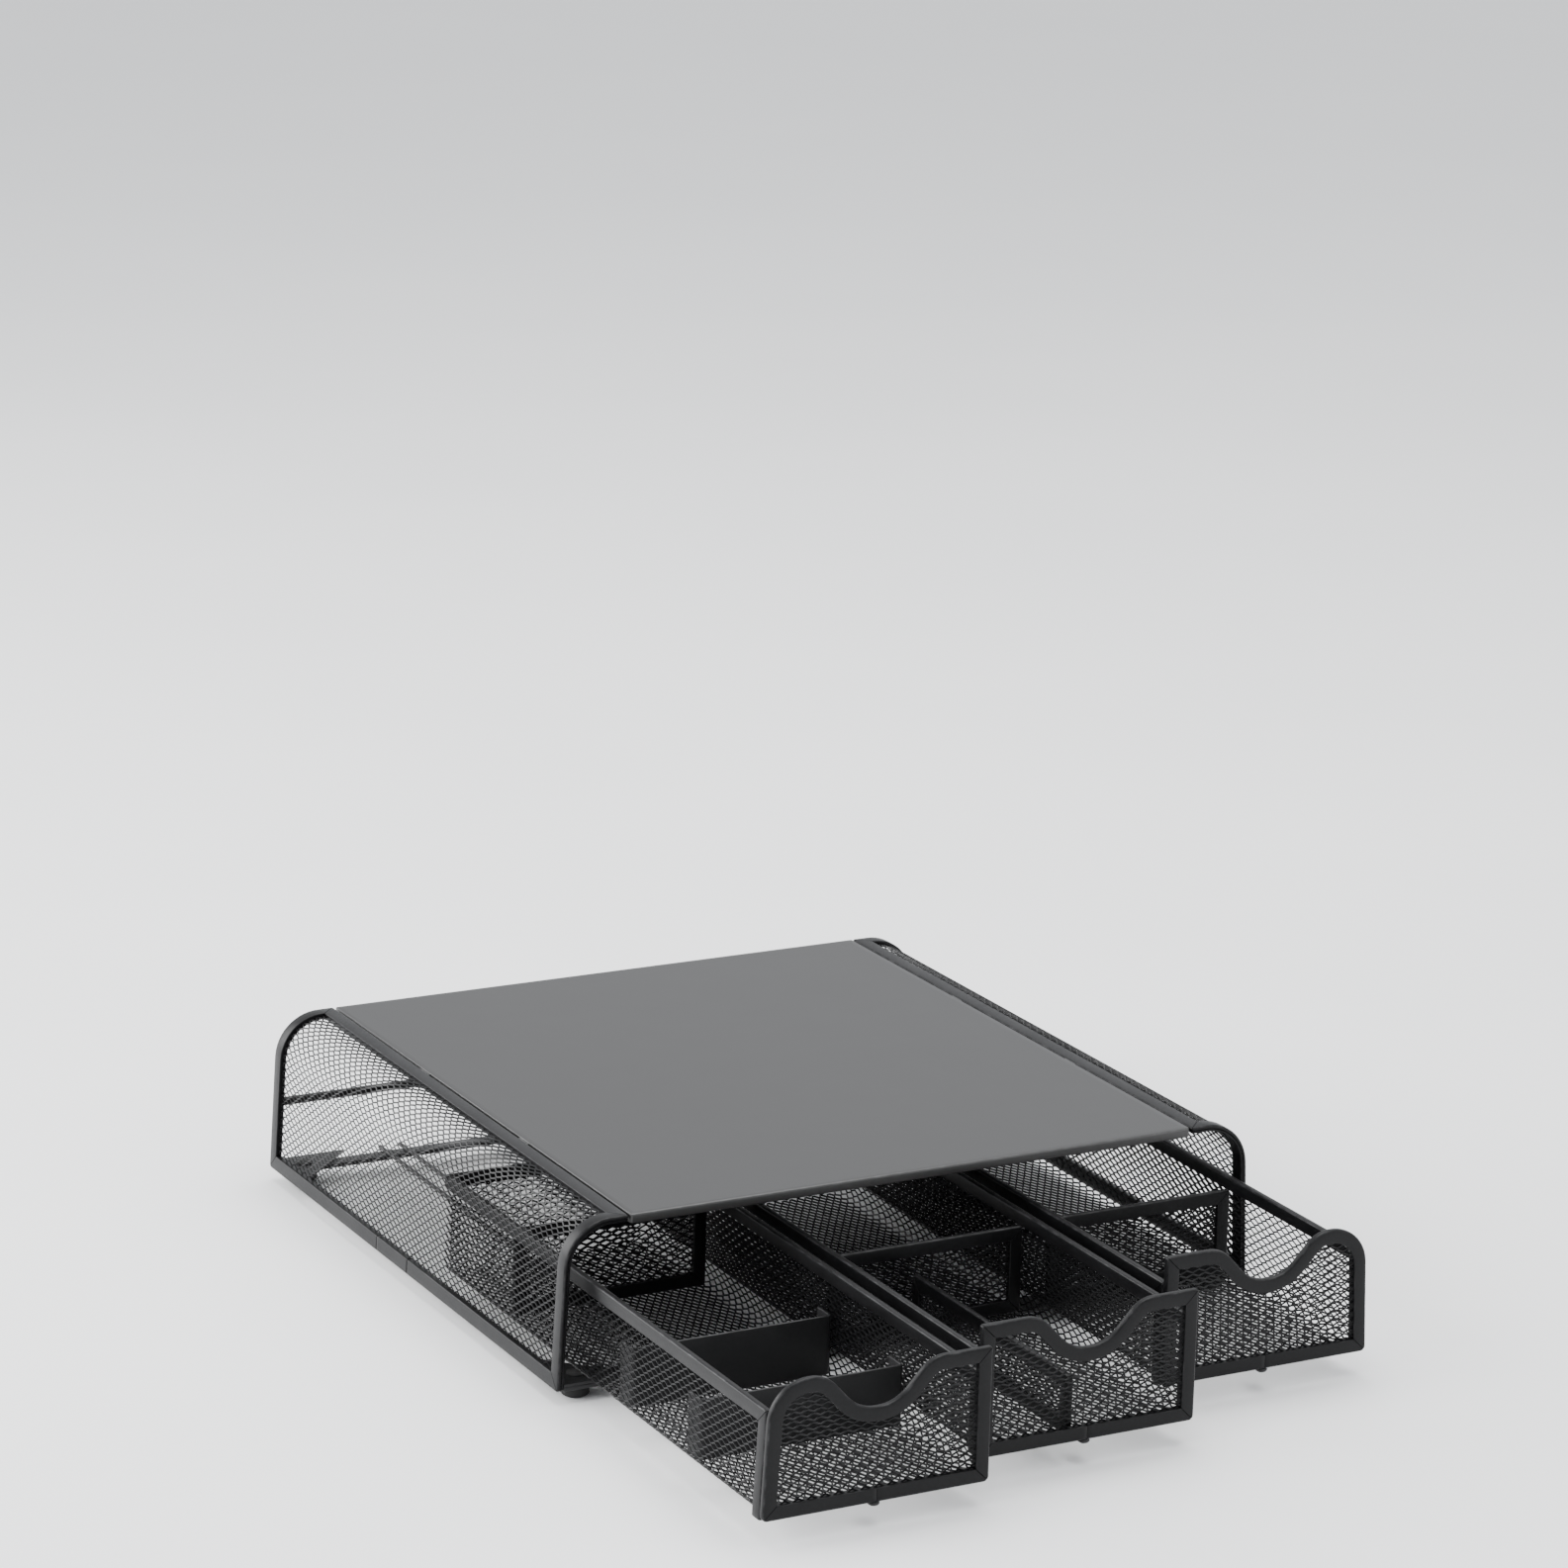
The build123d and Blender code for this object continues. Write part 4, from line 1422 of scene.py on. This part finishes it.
@dataclass
class Drawer:
    """One mesh drawer: a bent basket, a strip-edged front with a finger notch, rims and glides.

    Attributes:
        name: Body of the drawer.
        left_slope: How far the left side stands in for each metre of height.
        right_slope: The same on the right.
        wall: Height of the side and rear walls.
        bend: Radius where the walls turn into the floor.
        mesh_depth: Outside of the drawer to the middle of its mesh.
        floor: Height of the middle of the floor's mesh.
        outer_corner: Radius of a leaning side's top corner.
        inner_corner: Outer radius of the mitre at an upright side's top corner.
        notch_top: Half the notch's width at the top.
        notch_low: Half the notch's width at its floor.
        notch_depth: Depth of the notch.
        notch_shoulder: Radius of its shoulders.
        notch_floor: Radius of its floor.
        foot_corner: Outer radius of the front's two lower mitres.
        leg_corner: Outer radius of the mitre between a rim and a corner leg.
        hem: Share of the strip's width that the front's mesh reaches into it.
        knob: Width of the knob under the front.
        knob_drop: How far it hangs below the front.
        glide: Length of the knob and of the rear glide.
        strip: Folded strip of the front, the rims and the corner legs.
        metal: The mesh.
    """

    name: str
    left_slope: float = 0.0
    right_slope: float = 0.0
    wall: float = 45.0 * MM
    bend: float = 5.0 * MM
    mesh_depth: float = 1.5 * MM
    floor: float = 0.6 * MM
    outer_corner: float = 17.5 * MM
    inner_corner: float = 0.9 * MM
    notch_top: float = 23.5 * MM
    notch_low: float = 8.0 * MM
    notch_depth: float = 16.8 * MM
    notch_shoulder: float = 14.0 * MM
    notch_floor: float = 17.0 * MM
    foot_corner: float = 2.0 * MM
    leg_corner: float = 1.2 * MM
    hem: float = 0.4
    knob: float = 4.8 * MM
    knob_drop: float = 2.0 * MM
    glide: float = 12.0 * MM
    strip: FoldedStrip = FoldedStrip(6.0 * MM, 3.0 * MM)
    metal: ExpandedMetal = ExpandedMetal()

    def __post_init__(self) -> None:
        """Reads the drawer's place from the frame."""
        low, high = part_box(f"{self.name}_front_strip")
        self.origin = low
        self.width = high.x - low.x
        self.front = high.z - low.z
        self.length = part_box(f"{self.name}_rear_rim")[1].y - low.y

    def front_surface(self) -> Surface:
        """Outer face of the front."""
        return flat(self.origin, ACROSS, -BACK, self.front)

    def front_corners(self) -> list[Corner]:
        """Outer edge of the front: square feet, the finger notch, a rounded corner where it leans.

        Returns:
            The corners, anticlockwise from the lower left.
        """
        middle, top, floor = self.width / 2, self.front, self.front - self.notch_depth
        return [
            Corner(0, 0, self.foot_corner, True, (middle,)),
            Corner(self.width, 0, self.foot_corner, True),
            Corner(self.width - self.right_slope * top, top, *self.top_corner(self.right_slope)),
            Corner(middle + self.notch_top, top, self.notch_shoulder),
            Corner(middle + self.notch_low, floor, self.notch_floor),
            Corner(middle - self.notch_low, floor, self.notch_floor),
            Corner(middle - self.notch_top, top, self.notch_shoulder),
            Corner(self.left_slope * top, top, *self.top_corner(self.left_slope)),
        ]

    def top_corner(self, slope: float) -> tuple[float, bool]:
        """Radius of a top corner and whether it is a seam."""
        return (self.outer_corner, False) if slope > 0 else (self.inner_corner, True)

    def side_surface(self, side: Side) -> Surface:
        """Outer face of a side wall, its u running back from the front face.

        Args:
            side: Which side.

        Returns:
            The surface.
        """
        foot = self.origin + ACROSS * (0 if side is Side.LEFT else self.width)
        slope = self.left_slope if side is Side.LEFT else self.right_slope
        return flat(foot, BACK, ACROSS * side.value, self.wall, slope * self.wall)

    def basket_route(self) -> tuple[Array, Array]:
        """Middle of the mesh across the drawer: down one wall, along the floor, up the other.

        Returns:
            Points and normals, in x and z from the drawer's lower left corner.
        """
        left, right, top = self.mesh_depth, self.width - self.mesh_depth, self.wall - self.mesh_depth
        corners = [
            (left + self.left_slope * top, top), (left, self.floor),
            (right, self.floor), (right - self.right_slope * top, top),
        ]
        return rounded_route(corners, [self.bend, self.bend])

    def build_basket(self, workshop: Workshop) -> None:
        """Makes the bent basket and the rear wall.

        Args:
            workshop: Where pieces are finished.
        """
        route = self.basket_route()
        basket = Surface(self.origin, BACK, ACROSS, UP, route)
        span = (self.strip.thickness, self.length - self.mesh_depth, 0, basket.height)
        weave = self.metal.sheet(basket, span, 0.0)
        nodes = [f"{self.name}_{part}" for part in ("floor", "left_wall", "right_wall")]
        workshop.fit(f"{self.name}_basket", weave, Slot.MESH, self.name, *nodes)
        rear = flat(self.origin + BACK * (self.length - self.mesh_depth), ACROSS, BACK, self.wall)
        span = (self.mesh_depth, self.width - self.mesh_depth, self.floor, self.wall - self.mesh_depth)
        weave = self.metal.sheet(rear, span, 0.0, route[0])
        workshop.fit(f"{self.name}_rear_weave", weave, Slot.MESH, self.name, f"{self.name}_rear_wall")

    def build_front(self, workshop: Workshop) -> None:
        """Makes the front's mesh and strip, the corner legs and the side rims.

        Args:
            workshop: Where pieces are finished.
        """
        surface = self.front_surface()
        corners = self.front_corners()
        rows = self.strip.seam_to_seam(corners)
        reach = np.array([self.hem * self.strip.width])
        outline = np.concatenate([row.inwards(reach)[:, 0] for row in rows])
        low, right, top = self.mesh_depth, self.width - self.mesh_depth, self.front - self.mesh_depth
        weave = self.metal.sheet(surface, (low, right, low, top), -self.mesh_depth, outline)
        workshop.fit(f"{self.name}_front_weave", weave, Slot.MESH, self.name, f"{self.name}_front_mesh")
        lengths = [self.strip.run(surface, row) for row in rows]
        for side in Side:
            ends = [
                Corner(self.length - self.strip.thickness, self.wall, 0),
                Corner(self.strip.thickness, self.wall, self.leg_corner, True),
                Corner(self.strip.thickness, 0, 0),
            ]
            rim, leg = self.strip.runs(self.side_surface(side), ends, closed=False)
            lengths.append(leg)
            node = f"{self.name}_{side.name.lower()}_rim"
            workshop.fit(f"{node}_folded", rim, Slot.STRIP, self.name, node)
        front = Shell.joined(lengths)
        workshop.fit(f"{self.name}_front_frame", front, Slot.STRIP, self.name, f"{self.name}_front_strip")

    def build_rear_rim(self, workshop: Workshop) -> None:
        """Makes the rim over the rear wall.

        Args:
            workshop: Where pieces are finished.
        """
        rear = flat(self.origin + BACK * self.length, ACROSS, BACK, self.wall)
        left = self.left_slope * self.wall
        right = self.width - self.right_slope * self.wall
        ends = [Corner(right, self.wall, 0), Corner(left, self.wall, 0)]
        rim = self.strip.runs(rear, ends, closed=False)[0]
        workshop.fit(f"{self.name}_rear_rim_folded", rim, Slot.STRIP, self.name, f"{self.name}_rear_rim")

    def build_glides(self, workshop: Workshop) -> None:
        """Makes the front knob and the rear glide under the floor.

        Args:
            workshop: Where pieces are finished.
        """
        low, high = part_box(f"{self.name}_glides")
        middle, half, foot = (low.x + high.x) / 2, self.knob / 2, self.origin.z
        knob_low = Vector((middle - half, low.y, foot - self.knob_drop))
        knob_high = Vector((middle + half, low.y + self.glide, foot))
        knob = slab(knob_low, knob_high, corner=2.2 * MM, edge=1.2 * MM)
        rear_low = Vector((low.x, high.y - self.glide, low.z))
        rear = slab(rear_low, high, corner=1.5 * MM, edge=0.5 * MM)
        pads = Shell.joined([knob, rear])
        workshop.fit(f"{self.name}_glide_pads", pads, Slot.GLIDE, self.name, f"{self.name}_glides")

    def build(self, workshop: Workshop) -> None:
        """Makes the whole drawer.

        Args:
            workshop: Where pieces are finished.
        """
        self.build_basket(workshop)
        self.build_front(workshop)
        self.build_rear_rim(workshop)
        self.build_glides(workshop)


@dataclass
class PlainDivider:
    """A plain steel sheet across a drawer, its ends bent to the back.

    Attributes:
        node: Node of the design that it stands for.
        body: Drawer that it stands in.
        thickness: Thickness of the sheet.
        bend: Radius of the middle of the sheet at a bend.
        edge: Radius of its upper and lower edges.
    """

    node: str
    body: str
    thickness: float = 1.2 * MM
    bend: float = 1.7 * MM
    edge: float = 0.45 * MM

    def build(self, workshop: Workshop) -> None:
        """Makes the divider.

        Args:
            workshop: Where pieces are finished.
        """
        low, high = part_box(self.node)
        half = self.thickness / 2
        left, right, front, back = low.x + half, high.x - half, low.y + half, high.y
        corners = [(left, back), (left, front), (right, front), (right, back)]
        route = rounded_route(corners, [self.bend, self.bend])
        surface = Surface(UP * low.z, UP, ACROSS, BACK, route)
        sheet = ribbon(surface, 0, high.z - low.z, self.thickness, self.edge)
        workshop.fit(f"{self.node}_sheet", sheet, Slot.SHEET, self.body, self.node)


@dataclass
class FramedDivider:
    """Expanded metal in a mitred frame of folded strip, across a drawer or along it.

    Attributes:
        label: Start of its nodes' names.
        body: Drawer that it stands in.
        lengthwise: Whether it runs from front to back.
        hem: How far inside the strip's outer edge the mesh ends.
        corner: Outer radius of the mitres.
        strip: Its folded strip.
        metal: The mesh.
    """

    label: str
    body: str
    lengthwise: bool = False
    hem: float = 1.5 * MM
    corner: float = 1.2 * MM
    strip: FoldedStrip = FoldedStrip(6.0 * MM, 2.6 * MM)
    metal: ExpandedMetal = ExpandedMetal()

    def build(self, workshop: Workshop) -> None:
        """Makes the frame and its mesh.

        Args:
            workshop: Where pieces are finished.
        """
        frame_node = f"{self.label}_frame"
        low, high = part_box(frame_node)
        size = high - low
        if self.lengthwise:
            width, surface = size.y, flat(low + ACROSS * size.x, BACK, ACROSS, size.z)
        else:
            width, surface = size.x, flat(low, ACROSS, -BACK, size.z)
        span = (self.hem, width - self.hem, self.hem, size.z - self.hem)
        weave = self.metal.sheet(surface, span, -self.strip.thickness / 2)
        workshop.fit(f"{self.label}_weave", weave, Slot.MESH, self.body, f"{self.label}_mesh")
        outline = ((0, 0), (width, 0), (width, size.z), (0, size.z))
        runs = self.strip.runs(surface, [Corner(u, v, self.corner, True) for u, v in outline])
        workshop.fit(f"{self.label}_border", Shell.joined(runs), Slot.STRIP, self.body, frame_node)


# ------------------------------------------------------------------------------ studio


@dataclass
class Studio:
    """A pale floor, soft light and the camera.

    Attributes:
        azimuth: How far the camera stands round to the left of the front.
        elevation: How far it looks down.
        roll: How far it is turned about its own axis.
        stand: Where it stands.
        lens: Focal length in millimetres on a 36 mm sensor.
        floor: Half the floor's size.
        aim: Where the lamps point.
    """

    azimuth: float = math.radians(28.18)
    elevation: float = math.radians(15.08)
    roll: float = math.radians(1.39)
    stand: tuple[float, float, float] = (-1.047, -1.898, 0.813)
    lens: float = 121.1
    floor: float = 6.0
    aim: tuple[float, float, float] = (0.0, 0.0, 0.03)

    def camera(self) -> None:
        """Sets up the camera: its right, up and back axes from the three angles."""
        forwards = Vector((math.sin(self.azimuth), math.cos(self.azimuth), 0))
        ahead = math.cos(self.elevation) * forwards - math.sin(self.elevation) * UP
        right = forwards.cross(UP)
        up = right.cross(ahead)
        across = math.cos(self.roll) * right + math.sin(self.roll) * up
        above = math.cos(self.roll) * up - math.sin(self.roll) * right
        data = bpy.data.cameras.new("camera")
        data.lens = self.lens
        data.clip_end = 50
        camera = bpy.data.objects.new("camera", data)
        turn = Matrix((across, above, -ahead)).transposed().to_4x4()
        camera.matrix_world = Matrix.Translation(Vector(self.stand)) @ turn
        bpy.context.scene.collection.objects.link(camera)
        bpy.context.scene.camera = camera

    def lamp(self, name: str, place: tuple[float, float, float], size: float, power: float) -> None:
        """Hangs a soft square lamp that faces the object.

        Args:
            name: The lamp's name.
            place: Where it hangs.
            size: Length of its sides.
            power: Its power in watts.
        """
        data = bpy.data.lights.new(name, "AREA")
        data.size = size
        data.energy = power
        lamp = bpy.data.objects.new(name, data)
        lamp.location = place
        heading = Vector(self.aim) - Vector(place)
        lamp.rotation_euler = heading.to_track_quat("-Z", "Y").to_euler()
        bpy.context.scene.collection.objects.link(lamp)

    def ground(self) -> None:
        """Lays a pale floor with a faint drift of tone."""
        corners = np.array([(-1, -1, 0), (1, -1, 0), (1, 1, 0), (-1, 1, 0)]) * self.floor
        mesh = bpy.data.meshes.new("studio_floor")
        mesh.from_pydata(corners.tolist(), [], [(0, 1, 2, 3)])
        floor = bpy.data.objects.new("studio_floor", mesh)
        bpy.context.scene.collection.objects.link(floor)
        material = bpy.data.materials.new("pale_floor")
        material.use_nodes = True
        graph = Graph(material.node_tree)
        place = graph.node("ShaderNodeTexCoord").outputs["Object"]
        drift = graph.noise(place, 3.0, 4.0)
        colour = graph.blend(drift, (0.86, 0.865, 0.87, 1), (0.9, 0.9, 0.9, 1))
        roughness = graph.ramp(drift, 0.3, 0.7, 0.55, 0.65)
        shader = graph.node("ShaderNodeBsdfPrincipled", {"Base Color": colour, "Roughness": roughness})
        graph.node("ShaderNodeOutputMaterial", {"Surface": shader.outputs["BSDF"]})
        mesh.materials.append(material)

    def build(self) -> None:
        """Sets up the floor, the light and the camera."""
        world = bpy.data.worlds.new("soft_room")
        world.use_nodes = True
        graph = Graph(world.node_tree)
        sky = graph.node("ShaderNodeBackground", {"Color": (0.95, 0.97, 1.0, 1), "Strength": 1.2})
        graph.node("ShaderNodeOutputWorld", {"Surface": sky.outputs[0]})
        bpy.context.scene.world = world
        self.lamp("window_left", (-1.9, 0.1, 0.9), 1.6, 60)
        self.lamp("window_behind", (-1.3, 1.6, 0.7), 1.2, 34)
        self.lamp("overhead", (0.3, 0.2, 2.2), 1.8, 60)
        self.lamp("fill_right", (1.6, -1.4, 1.0), 1.4, 14)
        self.ground()
        self.camera()


def main() -> None:
    """Builds the studio, then the housing, then the drawers and their dividers."""
    logging.basicConfig(level=logging.INFO, format="%(name)s: %(message)s")
    Studio().build()
    workshop = Workshop()
    for side in Side:
        HousingSide(side).build(workshop)
    TopPlate().build(workshop)
    Base().build(workshop)
    slope = HousingSide(Side.LEFT).slope()
    Drawer("left_drawer", left_slope=slope).build(workshop)
    Drawer("middle_drawer").build(workshop)
    Drawer("right_drawer", right_slope=slope).build(workshop)
    for number in (1, 2):
        PlainDivider(f"left_drawer_plain_divider_{number}", "left_drawer").build(workshop)
    for body in ("left_drawer", "middle_drawer", "right_drawer"):
        FramedDivider(f"{body}_divider", body).build(workshop)
    FramedDivider("middle_drawer_long_divider", "middle_drawer", lengthwise=True).build(workshop)


if __name__ == "__main__":
    main()
